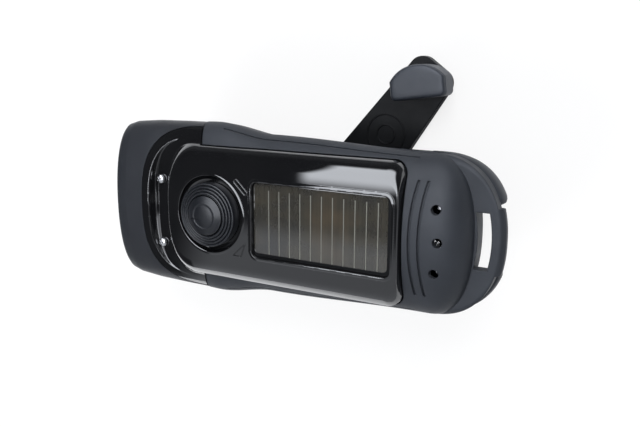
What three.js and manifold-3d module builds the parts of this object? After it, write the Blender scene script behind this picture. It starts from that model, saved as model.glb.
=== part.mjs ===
// Hand crank flashlight with a solar panel, in millimetres, lying on its crank.
// X runs towards the lamp head, Z up to the solar panel. The origin is the crank's axis
// on the surface that the crank lies on.
import * as THREE from 'three';
import { mergeVertices } from 'three/addons/utils/BufferGeometryUtils.js';
import Module from 'manifold-3d';

const wasm = await Module();
wasm.setup();
const { lerp, smoothstep } = THREE.MathUtils;

// Shared allowances
const gap = 0.3; // between pieces that meet or move past each other
const overrun = 3; // how far a cut runs past the face that it opens
const wall = 2; // moulded walls

// Casing, seen from above: positions along X and half widths
const headFrontX = 73.5; // front rim of the lamp head
const headX = 44; // where the thumb lobes have run out into the head
const headHalfWidth = 30.7;
const railFrontX = 36; // front ends of the side rails, at their outer edge
const railInnerFrontX = 33.8; // and beside the cover, as they are cut at a slant
const lobeX = 31; // widest point of the thumb lobes
const lobeHalfWidth = 31.2;
const waistX = 8;
const waistHalfWidth = 28;
const hipX = -50; // where the tail starts to round off
const hipHalfWidth = 26;
const tailEndX = -73.3;
const crownEndX = -64; // foot of the crown, where the tail ledge starts
const hullEndX = -61.4; // tail end of the lower hull
const hullFrontX = 48; // seam between the lower hull and the lamp head
const tailExponent = 2.35; // squareness of the rounded tail, 2 is an ellipse
const crownExponent = 2.3;

// Casing heights
const sideZ = 33.5; // widest line
const splitZ = 27; // seam between the upper frame and the lower shell
const deckZ = 45; // flat top of the glossy cover
const crownDrop = 0.8; // from there down to the top of the frame
const undersideZ = 14.6; // underside of the head and the tail
const skirtDraft = 1.3;
const hullStep = 0.9; // the lower hull stands back from the frame
const hullExponent = 3;
const hullDepthShares = [0.52, 0.7, 0.85, 0.94, 0.985]; // levels from the widest line to the underside
const keelExponent = 2.2; // lower half of the lamp head
const archExponent = 2;

// Lamp head
const headTopZ = 43.9;
const headExponent = 2.2;
const headDepthShares = [0, 0.3, 0.62, 0.86, 0.96, 1]; // stations from its rear to its rim
const headWidthShares = [1.003, 1, 0.99, 0.965, 0.925, 0.85];
const headHeightShares = [1, 1, 0.985, 0.955, 0.915, 0.85];
const rimThickness = 2.5;
const rimOpeningInset = 5.2;
const bezelWall = 2.2;
const mouthFlareShare = 1.05; // its mouth at the rim, against the lens

// Glossy cover
const coverTailX = -43.3;
const coverHalfWidth = 23.6; // between the rails
const coverCorner = 5;
const coverFrontX = 59.6; // seam with the lamp head, on the centre line
const coverHeadHalfWidth = 29.2;
const coverFrontExponent = 3;
const plateauExponent = 2.6;
const plateauFrontX = 49.2;
const footZ = 38.2; // foot of the plateau's bevel
const plateauSideInset = 5.6;
const plateauFrontInset = 3.6;
const plateauTailInset = 1.2;
const plateauHeightShares = [0, 0.5, 0.85, 1];
const plateauInsetShares = [0, 0.3, 0.7, 1];
const coverSeatZ = 34.9; // flange that the cover rests on
const seatFlangeWidth = 3;
const seatFlangeThickness = 1.5;
const valleyFloorZ = 40.6;
const valleyFrontX = 56;
const valleyHalfWidth = 26;

// Solar panel
const panelHeadX = 10.8;
const panelTailX = -40.2;
const panelHalfWidth = 13;
const panelCorner = 2.2;
const panelRecess = 1.2; // from the deck down to the panel's face
const panelThickness = 1;
const panelBorder = 0.9; // rebate that carries the panel
const panelPadMargin = 1.4;
const lipWidth = 1.1;
const lipHeight = 0.6;
const contactLineCount = 11;
const contactLineWidth = 0.32;
const contactLineHeight = 0.12;
const contactLineHeadMargin = 6.4; // bare ends of the panel
const contactLineTailMargin = 4.6;
const contactLineSideMargin = 2.6; // bare strip along one side

// Power button
const buttonX = 28;
const buttonWellRadius = 14.2;
const buttonLipWidth = 0.9;
const buttonLipHeight = 0.5;
const bootRadius = 11.3;
const bootSeatDepth = 2; // from the deck down to the boot's seat
const bootSeatWidth = 2;
const bootWallHeight = 3.7; // its outer wall, up to the first ring
const bootRise = 1.2; // from the first ring up to the dome
const bootRingCount = 4;
const bootRingShare = 0.72; // of each step up, the rest is the groove between rings
const domeRadius = 6.9;
const domeHeight = 6.3; // above the boot's seat
const domeShoulderShare = 0.8; // straight part of its side
const domeFlange = 1.3;
const domeFlangeThickness = 0.8;
const buttonTravel = 1.2;
const stemRadius = 2;
const switchSize = 8;
const switchHeight = 3.6;
const plungerRadius = 1.6;

// Tail
const ledgeZ = 35.4;
const ledgeThickness = 4;
const ledgeEdge = 0.9;
const rimInset = 2.1; // the ledge's upper edge rounds off over this width
const rimDrop = 1.5;
const rimCurveShare = 0.38; // where the rounding is halfway round
const earRecess = 1.3; // the ledge stands back over the shell's ears
const earRecessSide = 0.2;
const earRecessExponent = 2.25;
const slotX = -67; // middle of the lanyard slot
const slotHalfLength = 9;
const slotWidth = 4.3;
const slotBow = 1;
const earNotchHalfWidth = 10.4;
const earBottomZ = 20.5;
const earThickness = 3;
const earTaper = 2;
const grooveWidth = 0.8;
const grooveDepth = 0.7;
const grooveXs = [-45.8, -48.9]; // on the centre line
const grooveHalfLength = 18.2;
const grooveBow = 1.8;
const tailHoleRadius = 1.5;
const tailHoleX = -53.9;
const tailScrewYs = [-10, 10];
const indicatorX = -54.9;
const indicatorSink = 0.5;
const indicatorTipShare = 0.7;
const indicatorTipHeight = 0.2;

// Crank
const armThickness = 3.6;
const armAngle = THREE.MathUtils.degToRad(-127.1);
const crankRadius = 57.7;
const armRootWidth = 23.4; // at the hub's rim
const armTipWidth = 17; // at its end
const armEndMargin = 6.8; // from the knob's axis to the arm's end
const armEndCorner = 4.9;
const neckWidth = 13;
const lugHalfWidth = 3; // hub's middle lug on the fold pin
const forkClearance = 1; // from the lug to the bottom of the arm's fork
const hubRadius = 18;
const hubDiscThickness = 3.1;
const hubShaftRadius = 4;
const foldPinRadius = 0.9;
const foldPinHalfLength = 15.5;
const emblemRadius = 33.6; // place of the moulded rings along the arm
const emblemRingRadii = [7.2, 3.4];
const emblemRingWidth = 0.5;
const emblemRingHeight = 0.25;
const knobHalfWidth = 9.8;
const knobFlatY = 5.6; // flat side
const knobBackY = -5.9; // top of the bowed side
const knobSideY = -1; // where the bow starts
const knobCorner = 1.8;
const knobBevel = 0.9;
const knobHeight = 9.8;
const knobAngle = THREE.MathUtils.degToRad(7.6);
const knobPinRadius = 1.9;
const knobPinHeadRadius = 3.6;
const knobPinHeadThickness = 1.3;
const knobRoof = 2.4; // above the pin's end

// Gear housing under the hull
const housingHalfWidth = coverHalfWidth;
const housingDraft = 1.2;
const housingEdge = 1.4;

// Generator and its gears
const crankTeeth = 50;
const idlerPinionTeeth = 12;
const idlerWheelTeeth = 36;
const rotorTeeth = 10;
const gearThickness = 3;
const addendumShare = 0.75;
const dedendumShare = 1.15;
const rootWidthShare = 0.56; // tooth width at its root, as a share of the pitch
const tipWidthShare = 0.2;
const centreAllowance = 0.2;
const rotorDirection = THREE.MathUtils.degToRad(155); // seen from the idler
const bushRadius = 6;
const bushFlangeRadius = 8;
const bushFlangeThickness = 1;
const clipRadius = 5.6;
const clipThickness = 1;
const axleRadius = 1.5;
const axleBossRadius = 3;
const gearPlateThickness = 1.5;
const gearPlateCorner = 4;
const postXs = [-21, 33];
const postRadius = 2.8;
const postTipRadius = 1.9;
const postInset = 2.6; // from the board's side to a post's axis
const postMargin = 3;
const rotorShaftRadius = 1;
const magnetRadius = 7.2;
const coilInnerRadius = 7.7;
const caseRadius = 12;
const caseHeight = 13;
const caseWall = 1;
const windingHeight = 9.6;

// Electronics
const boardZ = 33;
const boardThickness = 1.4;
const boardMargin = 3.6; // from the board's side to the cover's
const boardHeadX = 39;
const boardTailX = -36;
const boardCorner = 3;
const screwShankRadius = 0.8;
const screwHeadHeight = 1.1;
const boardScrewHeadRadius = 1.7;
const capacitorRadius = 2.7;
const cellRadius = 7.8;
const cellThickness = 5.8;
const cellCount = 3;
const cellGearMargin = 3.6; // from the battery tray to the crank gear
const cellEndMargin = 1.7; // and to the end of the housing
const trayWall = 1;
const trayHeight = 5.5;

// Lamp optics
const ledSpacing = 16.4;
const ledCount = 3;
const ledZ = 29.2;
const ledRadius = 2.5;
const ledFlange = 0.4;
const ledLength = 5.4;
const ledTipShare = 0.7;
const ledTipDrop = 0.8;
const cupRadius = 8;
const cupThroatRadius = 3.2;
const lensThickness = 2;
const gasketThickness = 1;
const opticsInset = 0.4; // clearance round the optics inside the lamp head
const ledBoardThickness = 1.6;
const ledBoardHalfHeight = 5.4;

// Cover screws in the valley
const coverScrewPlaces = [[52.6, -9.8], [52.8, 14.2]];
const coverScrewHeadRadius = 1.65;
const coverScrewLength = 12;
const bossRadius = 2.2;

// Facet counts
const archSteps = 14;
const ringSteps = 28;
const thumbSteps = 4;
const rearSteps = 5;
const endSteps = 6;
const endShortfallShare = 0.25; // a rounded end stops this share of a step short of its tip
const cornerSteps = 4;
const housingSteps = 6;
const domeSteps = 4;
const cupSteps = 4;
const curveSteps = 5;
const roundSteps = 20;
const smallSteps = 8;
const mergeDistance = 1e-4;

// Heights that follow from the stack of the crank, the hub and the gears
const channelZ = armThickness + gap;
const housingZ = armThickness + 2 * gap;
const hubTopZ = channelZ + hubDiscThickness;
const wellFloorZ = hubTopZ + gap;
const hubFloorTopZ = wellFloorZ + wall;
const gearZ = hubFloorTopZ + bushFlangeThickness + 2 * gap;
const gearTopZ = gearZ + gearThickness;
const clipZ = gearTopZ + gap;
const wheelZ = gearTopZ + gap;
const wheelTopZ = wheelZ + gearThickness - gap;
const plateZ = wheelTopZ + gap;
const plateTopZ = plateZ + gearPlateThickness;
const caseZ = plateTopZ + gap;
const housingFloorZ = housingZ + wall;
const boardTopZ = boardZ + boardThickness;
const coverRimZ = coverSeatZ + gap;
const headRearX = railInnerFrontX + gap;
const bootSeatZ = deckZ - bootSeatDepth;
const panelZ = deckZ - panelRecess - panelThickness;
const crownZ = deckZ - crownDrop;
const coverColumnTopZ = valleyFloorZ - 2 * wall - gap;
const ledgeBottomZ = ledgeZ - ledgeThickness;
const tailScrewHeadZ = crownTopZ(tailHoleX, tailScrewYs[0]) - 2 * wall;
const tailBossBottomZ = tailScrewHeadZ - 2 * wall;
const switchZ = boardTopZ + gap;
const plungerBottomZ = switchZ + wall / 2 + buttonTravel;
const plungerTopZ = switchZ + switchHeight + buttonTravel + gap;
const stemBottomZ = plungerTopZ + gap;
const shaftTopZ = clipZ + clipThickness + gap;
const knobZ = armThickness + gap;
const knobTopZ = knobZ + knobHeight;
const armEndRadius = crankRadius + armEndMargin;
const windingZ = caseZ + caseHeight - caseWall - gap - windingHeight;
const cellZ = housingFloorZ + gap + trayWall + cellRadius + gap;

// Widths, gears and batteries that follow from the width of the cover and the housing
const boardHalfWidth = coverHalfWidth - boardMargin;
const postY = boardHalfWidth - postInset;
const postPlaces = postXs.flatMap((x) => [[x, -postY], [x, postY]]);
const crankGearRadius = housingHalfWidth - housingDraft - wall - gap;
const gearModule = 2 * crankGearRadius / (crankTeeth + 2 * addendumShare);
const trayHalfLength = cellRadius + gap + trayWall / 2;
const cellStackX = -crankGearRadius - cellGearMargin - trayHalfLength;
const housingRadius = trayHalfLength + cellEndMargin + housingEdge + wall - cellStackX;
const idlerX = pitchRadius(crankTeeth) + pitchRadius(idlerPinionTeeth) + centreAllowance;
const rotorDistance = pitchRadius(idlerWheelTeeth) + pitchRadius(rotorTeeth) + centreAllowance;
const rotorX = idlerX + rotorDistance * Math.cos(rotorDirection);
const rotorY = rotorDistance * Math.sin(rotorDirection);

// Places of the lamp's optics, from the rim inwards
const frontWallX = headFrontX - rimThickness;
const lensFrontX = frontWallX - gasketThickness - 2 * gap;
const lensRearX = lensFrontX - lensThickness;
const reflectorFrontX = lensRearX - gap;
const reflectorRearX = coverFrontX + gap;
const ledBoardX = reflectorRearX - gap - ledBoardThickness;
const opticsWall = bezelWall + opticsInset;
const ledPlaces = Array.from({ length: ledCount }, (_, i) => (i - (ledCount - 1) / 2) * ledSpacing);

// Solids from geometry, and back

function toSolid(geometry) {
  geometry.deleteAttribute('normal');
  geometry.deleteAttribute('uv');
  const merged = mergeVertices(geometry, mergeDistance);
  const vertProperties = new Float32Array(merged.attributes.position.array);
  const triVerts = new Uint32Array(merged.index.array);
  return new wasm.Manifold(new wasm.Mesh({ numProp: 3, vertProperties, triVerts }));
}

function toGeometry(solid) {
  const mesh = solid.getMesh();
  const geometry = new THREE.BufferGeometry();
  geometry.setAttribute('position', new THREE.BufferAttribute(mesh.vertProperties, 3));
  geometry.setIndex(new THREE.BufferAttribute(mesh.triVerts, 1));
  geometry.computeVertexNormals();
  return geometry;
}

const join = (...solids) => solids.reduce((whole, solid) => whole.add(solid));
const cut = (body, ...tools) => tools.reduce((rest, tool) => rest.subtract(tool), body);

// Skin through rings of equal length, closed at both ends
function loft(rings) {
  const count = rings[0].length;
  const positions = rings.flat(2);
  const index = [];
  for (let r = 0; r < rings.length - 1; r++) {
    for (let i = 0; i < count; i++) {
      const near = r * count + i;
      const nearNext = r * count + (i + 1) % count;
      index.push(near, nearNext, nearNext + count, near, nearNext + count, near + count);
    }
  }
  const ends = [[rings[0], 0, true], [rings.at(-1), (rings.length - 1) * count, false]];
  for (const [ring, first, flip] of ends) {
    const middle = positions.length / 3;
    for (const axis of [0, 1, 2]) positions.push(ring.reduce((sum, point) => sum + point[axis], 0) / count);
    for (let i = 0; i < count; i++) {
      const pair = [first + i, first + (i + 1) % count];
      index.push(middle, ...(flip ? pair.reverse() : pair));
    }
  }
  const geometry = new THREE.BufferGeometry();
  geometry.setAttribute('position', new THREE.Float32BufferAttribute(positions, 3));
  geometry.setIndex(index);
  return toSolid(facesOut(geometry));
}

// Turns the faces round where the skin came out inside out
function facesOut(geometry) {
  const position = geometry.attributes.position;
  const index = geometry.index.array;
  const corner = (i) => new THREE.Vector3().fromBufferAttribute(position, index[i]);
  let volume = 0;
  for (let i = 0; i < index.length; i += 3) volume += corner(i).dot(corner(i + 1).cross(corner(i + 2)));
  if (volume < 0) index.reverse();
  return geometry;
}

// Upright solid of a plan outline, an array of [x, y] points or a THREE.Shape
function prism(outline, bottomZ, topZ) {
  const points = (Array.isArray(outline) ? outline : []).map(([x, y]) => new THREE.Vector2(x, y));
  const shape = Array.isArray(outline) ? new THREE.Shape(points) : outline;
  const options = { depth: topZ - bottomZ, bevelEnabled: false, curveSegments: curveSteps };
  return toSolid(new THREE.ExtrudeGeometry(shape, options).translate(0, 0, bottomZ));
}

// Solid of revolution about a vertical axis, from [radius, z] points that start and end on the axis
function turned(profile, x, y, steps = roundSteps) {
  const points = profile.map(([radius, z]) => new THREE.Vector2(radius, z));
  const geometry = new THREE.LatheGeometry(points, steps).rotateX(Math.PI / 2);
  return toSolid(facesOut(mergeVertices(stripped(geometry.translate(x, y, 0)), mergeDistance)));
}

function stripped(geometry) {
  geometry.deleteAttribute('normal');
  geometry.deleteAttribute('uv');
  return geometry;
}

function disc(x, y, radius, bottomZ, topZ, steps = roundSteps) {
  return turned([[0, bottomZ], [radius, bottomZ], [radius, topZ], [0, topZ]], x, y, steps);
}

function ring(x, y, outerRadius, innerRadius, bottomZ, topZ, steps = roundSteps) {
  return cut(
    disc(x, y, outerRadius, bottomZ, topZ, steps),
    disc(x, y, innerRadius, bottomZ - overrun, topZ + overrun, steps),
  );
}

function box(lowX, highX, lowY, highY, lowZ, highZ) {
  const geometry = new THREE.BoxGeometry(highX - lowX, highY - lowY, highZ - lowZ);
  return toSolid(geometry.translate((lowX + highX) / 2, (lowY + highY) / 2, (lowZ + highZ) / 2));
}

// Same solid lying along X: a vertical one is turned so that its top faces the lamp head
function alongX(solid, x, y, z) {
  const geometry = toGeometry(solid).rotateY(Math.PI / 2).translate(x, y, z);
  return toSolid(geometry);
}

function alongY(solid, x, y, z) {
  return toSolid(toGeometry(solid).rotateX(-Math.PI / 2).translate(x, y, z));
}

function roundedRectangle(lowX, highX, halfWidth, radius) {
  const shape = new THREE.Shape();
  shape.moveTo(lowX + radius, -halfWidth);
  shape.lineTo(highX - radius, -halfWidth);
  shape.absarc(highX - radius, radius - halfWidth, radius, -Math.PI / 2, 0);
  shape.lineTo(highX, halfWidth - radius);
  shape.absarc(highX - radius, halfWidth - radius, radius, 0, Math.PI / 2);
  shape.lineTo(lowX + radius, halfWidth);
  shape.absarc(lowX + radius, halfWidth - radius, radius, Math.PI / 2, Math.PI);
  shape.lineTo(lowX, radius - halfWidth);
  shape.absarc(lowX + radius, radius - halfWidth, radius, Math.PI, 1.5 * Math.PI);
  return shape;
}

// Curves of the casing

const power = (value, exponent) => Math.sign(value) * Math.abs(value) ** exponent;

function halfWidthAt(x) {
  const rear = lerp(hipHalfWidth, waistHalfWidth, smoothstep(x, hipX, waistX));
  const middle = lerp(rear, lobeHalfWidth, smoothstep(x, waistX, lobeX));
  return lerp(middle, headHalfWidth, smoothstep(x, lobeX, headX));
}

// Quarter of a superellipse, from (startX, halfWidth) to just short of (endX, 0)
function roundEnd(startX, endX, halfWidth, exponent, steps = endSteps) {
  const points = [];
  for (let i = 0; i <= steps; i++) {
    const angle = Math.min(i, steps - endShortfallShare) / steps * Math.PI / 2;
    const x = startX + (endX - startX) * power(Math.sin(angle), 2 / exponent);
    points.push([x, halfWidth * power(Math.cos(angle), 2 / exponent)]);
  }
  return points;
}

// Whole plan outline from its half with y above zero
function mirrored(half) {
  return [...half, ...half.map(([x, y]) => [x, -y]).reverse()];
}

function stations(fromX, toX, steps) {
  return Array.from({ length: steps + 1 }, (_, i) => lerp(fromX, toX, i / steps));
}

// Places along the sides, over the thumb lobes and the waist to the hip
function sideStations(frontX) {
  const thumb = stations(lobeX, waistX, thumbSteps);
  return [frontX, ...thumb, ...stations(waistX, hipX, rearSteps).slice(1)];
}

// Sides from one place to another, then the rounded tail
function hullOutline(frontX, widthShare, inset, endX) {
  const side = sideStations(frontX).slice(0, -1).map((x) => [x, halfWidthAt(x) * widthShare - inset]);
  return mirrored([...side, ...roundEnd(hipX, endX, hipHalfWidth * widthShare - inset, tailExponent)]);
}

function tailOutline(inset, frontX = hipX + overrun) {
  const end = roundEnd(hipX, tailEndX + inset, hipHalfWidth - inset, tailExponent);
  return mirrored([[frontX, hipHalfWidth - inset], ...end]);
}

// Plan outline of the cover's plateau between the rails
function plateauOutline(sideInset, frontInset, tailInset) {
  const halfWidth = coverHalfWidth - sideInset;
  const front = roundEnd(railFrontX, plateauFrontX - frontInset, halfWidth, plateauExponent).reverse();
  const tailX = coverTailX + tailInset;
  const corner = [];
  for (let i = 0; i <= cornerSteps; i++) {
    const angle = i / cornerSteps * Math.PI / 2;
    corner.push([
      tailX + coverCorner * (1 - Math.sin(angle)),
      halfWidth - coverCorner * (1 - Math.cos(angle)),
    ]);
  }
  return mirrored([...front, ...corner]);
}

// Plan outline of the cover in front of the rails
function coverHeadOutline(inset) {
  const rearX = headRearX + inset;
  const halfWidth = coverHeadHalfWidth - inset;
  return mirrored(roundEnd(rearX, coverFrontX - inset, halfWidth, coverFrontExponent).reverse());
}

// Room that the two side rails take in front of their inner ends, with a margin
function railZone(margin) {
  const half = [
    [hipX, coverHalfWidth - margin], [railInnerFrontX + margin, coverHalfWidth - margin],
    [railFrontX + margin, lobeHalfWidth], [railFrontX + margin, lobeHalfWidth + overrun],
    [hipX, lobeHalfWidth + overrun],
  ];
  const oneSide = prism(half, undersideZ, deckZ + overrun);
  return join(oneSide, prism(half.map(([x, y]) => [x, -y]).reverse(), undersideZ, deckZ + overrun));
}

// Everything in front of the rails' slanted ends
function frontZone() {
  return prism(mirrored([
    [coverFrontX, lobeHalfWidth + overrun], [railFrontX, lobeHalfWidth + overrun],
    [railFrontX, lobeHalfWidth], [railInnerFrontX, coverHalfWidth],
  ]), splitZ - overrun, deckZ + overrun);
}

// Upright solid over the whole cover, wider than it by the margin
function coverFootprint(margin, bottomZ, topZ) {
  const betweenRails = plateauOutline(-margin, 0, -margin).filter(([x]) => x <= railFrontX);
  const joinX = headRearX + 2 * seatFlangeWidth;
  const outline = [...betweenRails, [joinX, -coverHalfWidth - margin], [joinX, coverHalfWidth + margin]];
  return cut(
    join(prism(outline, bottomZ, topZ), prism(coverHeadOutline(-margin), bottomZ, topZ)),
    railZone(gap - margin),
  );
}

function archRing(x, halfWidth, topZ, bottomZ) {
  const ringPoints = [[x, halfWidth - skirtDraft, bottomZ]];
  for (let i = 0; i <= archSteps; i++) {
    const angle = Math.PI * i / archSteps;
    const y = halfWidth * power(Math.cos(angle), 2 / archExponent);
    const rise = power(Math.max(Math.sin(angle), 0), 2 / archExponent);
    ringPoints.push([x, y, lerp(sideZ, topZ, rise)]);
  }
  ringPoints.push([x, skirtDraft - halfWidth, bottomZ]);
  return ringPoints;
}

// Arched upper body from the rails' front ends to the foot of the crown
function archLoft(inset, bottomZ, frontX) {
  const topZ = crownZ - inset;
  const body = sideStations(frontX).map((x) => archRing(x, halfWidthAt(x) - inset, topZ, bottomZ));
  const end = roundEnd(hipX, crownEndX + inset, 1, crownExponent).slice(1);
  const tail = end.map(([x, share]) => archRing(
    x, lerp(skirtDraft, hipHalfWidth - inset, share), lerp(sideZ, topZ, share), bottomZ,
  ));
  return loft([...body, ...tail]);
}

// Superellipse ring across the lamp head, round the widest line
function headRing(x, halfWidth, topZ, bottomZ) {
  return Array.from({ length: ringSteps }, (_, i) => {
    const angle = 2 * Math.PI * i / ringSteps;
    const exponent = Math.sin(angle) > 0 ? headExponent : keelExponent;
    const height = Math.sin(angle) > 0 ? topZ - sideZ : sideZ - bottomZ;
    return [
      x,
      halfWidth * power(Math.cos(angle), 2 / exponent),
      sideZ + height * power(Math.sin(angle), 2 / exponent),
    ];
  });
}

function headSection(x, inset) {
  const share = (x - headRearX) / (headFrontX - headRearX);
  const width = headHalfWidth * interpolated(headWidthShares, share) - inset;
  const rise = interpolated(headHeightShares, share);
  const topZ = sideZ + (headTopZ - sideZ) * rise - inset;
  return headRing(x, width, topZ, sideZ - (sideZ - undersideZ) * rise + inset);
}

// Value at a share of the head's depth, between its stations
function interpolated(shares, share) {
  const at = Math.max(1, headDepthShares.findIndex((station) => station >= share - Number.EPSILON));
  const from = headDepthShares[at - 1];
  return lerp(shares[at - 1], shares[at], (Math.max(share, 0) - from) / (headDepthShares[at] - from));
}

function headLoft(fromX, toX, inset) {
  const between = headDepthShares
    .map((share) => headRearX + share * (headFrontX - headRearX))
    .filter((x) => x > fromX && x < toX);
  return loft([fromX, ...between, toX].map((x) => headSection(x, inset)));
}

// Lower hull: plan outlines that draw in towards the underside
function hullLoft(inset, topZ, frontX) {
  const topShare = (sideZ - topZ) / (sideZ - undersideZ);
  return loft([topShare, ...hullDepthShares].map((share) => {
    const draw = (1 - Math.min(Math.max(share, 0), 1) ** hullExponent) ** (1 / hullExponent);
    const endX = hipX + (hullEndX - hipX) * (1 + draw) / 2 + inset;
    const z = sideZ - share * (sideZ - undersideZ - inset);
    const outline = hullOutline(frontX, draw, inset + hullStep * draw, endX);
    return outline.map(([x, y]) => [x, y, z]);
  }));
}

// Gear housing: ends that are arcs round the crank's axis, straight drafted sides
function housingRing(radius, halfWidth, z) {
  const reach = Math.asin(halfWidth / radius);
  const points = [];
  for (const side of [0, Math.PI]) {
    for (let i = 0; i <= housingSteps; i++) {
      const angle = side + lerp(-reach, reach, i / housingSteps);
      points.push([radius * Math.cos(angle), radius * Math.sin(angle), z]);
    }
  }
  return points;
}

function housingLoft(inset, bottomZ, topZ) {
  const radius = housingRadius - inset;
  const halfWidth = housingHalfWidth - inset;
  return loft([
    housingRing(radius - housingEdge, halfWidth - housingDraft - housingEdge, bottomZ),
    housingRing(radius, halfWidth - housingDraft, bottomZ + housingEdge),
    housingRing(radius, halfWidth, topZ),
  ]);
}

// Casing pieces

// Curved slot or groove across the tail, bowed towards the given side
function bowedBar(x, halfLength, width, bow, bottomZ, topZ) {
  const shape = new THREE.Shape();
  const middle = x + bow;
  shape.moveTo(x - width / 2, -halfLength);
  shape.lineTo(x + width / 2, -halfLength);
  shape.quadraticCurveTo(middle + width / 2 + bow, 0, x + width / 2, halfLength);
  shape.lineTo(x - width / 2, halfLength);
  shape.quadraticCurveTo(middle - width / 2 + bow, 0, x - width / 2, -halfLength);
  return prism(shape, bottomZ, topZ);
}

function crownTopZ(x, y) {
  const share = Math.min((x - hipX) / (crownEndX - hipX), 1);
  const scale = (1 - Math.max(share, 0) ** crownExponent) ** (1 / crownExponent);
  const across = Math.sqrt(1 - (y / (hipHalfWidth * scale)) ** 2);
  return sideZ + (crownZ - sideZ) * scale * across;
}

// Ledge round the tail, with a rounded upper edge, set back over the lower shell's ears
function tailLedge() {
  const levels = [
    [ledgeEdge, ledgeBottomZ], [0, ledgeBottomZ + ledgeEdge], [0, ledgeZ - rimDrop],
    [rimInset * rimCurveShare, ledgeZ - rimDrop * rimCurveShare ** 2], [rimInset, ledgeZ],
  ];
  const ledge = loft(levels.map(([inset, z]) => tailOutline(inset).map(([x, y]) => [x, y, z])));
  const backEdge = roundEnd(hipX, tailEndX + earRecess, hipHalfWidth - earRecessSide, earRecessExponent);
  const kept = join(
    prism(mirrored([[hipX + overrun, hipHalfWidth], ...backEdge]), splitZ, crownZ),
    box(tailEndX - overrun, hipX, -earNotchHalfWidth, earNotchHalfWidth, splitZ, crownZ),
  );
  return ledge.intersect(kept);
}

function bumperFrame() {
  const outer = join(archLoft(0, splitZ, railFrontX), tailLedge());
  const inner = archLoft(wall, splitZ - overrun, railFrontX + overrun);
  const shell = cut(outer, inner, coverFootprint(gap, coverSeatZ, deckZ + overrun));
  const seat = cut(
    coverFootprint(wall, coverSeatZ - seatFlangeThickness, crownZ),
    coverFootprint(gap, coverSeatZ, deckZ),
    coverFootprint(-seatFlangeWidth, splitZ, deckZ),
  ).intersect(archLoft(wall / 2, splitZ, railFrontX));
  const bosses = join(...tailScrewYs.map((y) =>
    disc(tailHoleX, y, bossRadius + wall / 2, tailBossBottomZ, crownZ, smallSteps)))
    .intersect(archLoft(wall / 2, splitZ, railFrontX));
  const holeBottomZ = tailScrewHeadZ - screwHeadHeight - gap;
  const holes = tailScrewYs.flatMap((y) => [
    disc(tailHoleX, y, tailHoleRadius, holeBottomZ, crownZ + overrun, smallSteps),
    disc(tailHoleX, y, screwShankRadius + gap, splitZ, crownZ, smallSteps),
  ]);
  const indicatorHole = disc(indicatorX, 0, tailHoleRadius, splitZ, crownZ + overrun, smallSteps);
  const slot = bowedBar(slotX + slotBow, slotHalfLength, slotWidth, -slotBow, splitZ, crownZ);
  const grooves = grooveXs.map((x) => {
    const bar = bowedBar(x - grooveBow, grooveHalfLength, grooveWidth, grooveBow, splitZ, crownZ + overrun);
    return cut(bar, archLoft(grooveDepth, splitZ - overrun, railFrontX));
  });
  return cut(join(shell, seat, bosses), frontZone(), ...holes, indicatorHole, slot, ...grooves);
}

function bottomShell() {
  const topZ = splitZ - gap;
  const ears = cut(
    loft([
      tailOutline(earTaper).map(([x, y]) => [x, y, earBottomZ]),
      tailOutline(0).map(([x, y]) => [x, y, splitZ]),
      tailOutline(0).map(([x, y]) => [x, y, ledgeBottomZ - gap]),
    ]),
    prism(tailOutline(earThickness, hipX + 2 * overrun), earBottomZ - overrun, sideZ),
    box(tailEndX - overrun, crownEndX, -earNotchHalfWidth, earNotchHalfWidth, earBottomZ - overrun, sideZ),
    archLoft(-gap, topZ, railFrontX),
  );
  const hull = cut(
    join(hullLoft(0, topZ, hullFrontX), ears, housingLoft(0, housingZ, splitZ - 2 * wall)),
    hullLoft(wall, topZ + overrun, hullFrontX + overrun),
    housingLoft(wall, housingFloorZ, splitZ),
  );
  const insideWalls = join(
    hullLoft(wall / 2, topZ, hullFrontX),
    housingLoft(wall / 2, housingZ + wall / 2, splitZ - overrun),
    box(hullEndX, hullFrontX, -hipHalfWidth / 2, hipHalfWidth / 2, undersideZ + wall, sideZ),
  );
  const hubBoss = disc(0, 0, hubRadius + gap + wall, housingZ + wall / 2, hubFloorTopZ);
  const axleBoss = disc(idlerX, 0, axleBossRadius, housingFloorZ - wall / 2, gearZ - gap, smallSteps);
  const posts = postPlaces.map(([x, y]) => turned([
    [0, housingFloorZ - wall / 2], [postRadius, housingFloorZ - wall / 2], [postRadius, plateZ - gap],
    [postTipRadius, plateZ - gap], [postTipRadius, boardZ - gap], [0, boardZ - gap],
  ], x, y, smallSteps));
  const tailColumns = tailScrewYs.map((y) =>
    disc(tailHoleX, y, bossRadius, undersideZ + wall, tailBossBottomZ - gap, smallSteps));
  const bosses = join(hubBoss, axleBoss, ...tailColumns).intersect(insideWalls);
  return cut(
    join(hull, bosses, ...posts),
    disc(0, 0, hubRadius + 2 * gap, housingZ - overrun, wellFloorZ),
    disc(0, 0, bushRadius + gap, housingZ, hubFloorTopZ + overrun),
    disc(idlerX, 0, axleRadius + gap, housingFloorZ, gearZ, smallSteps),
    ...tailScrewYs.map((y) =>
      disc(tailHoleX, y, screwShankRadius + gap, splitZ - 2 * wall, sideZ + overrun, smallSteps)),
    ...postPlaces.map(([x, y]) =>
      disc(x, y, screwShankRadius + gap, splitZ - wall, boardZ, smallSteps)),
  );
}

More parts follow.
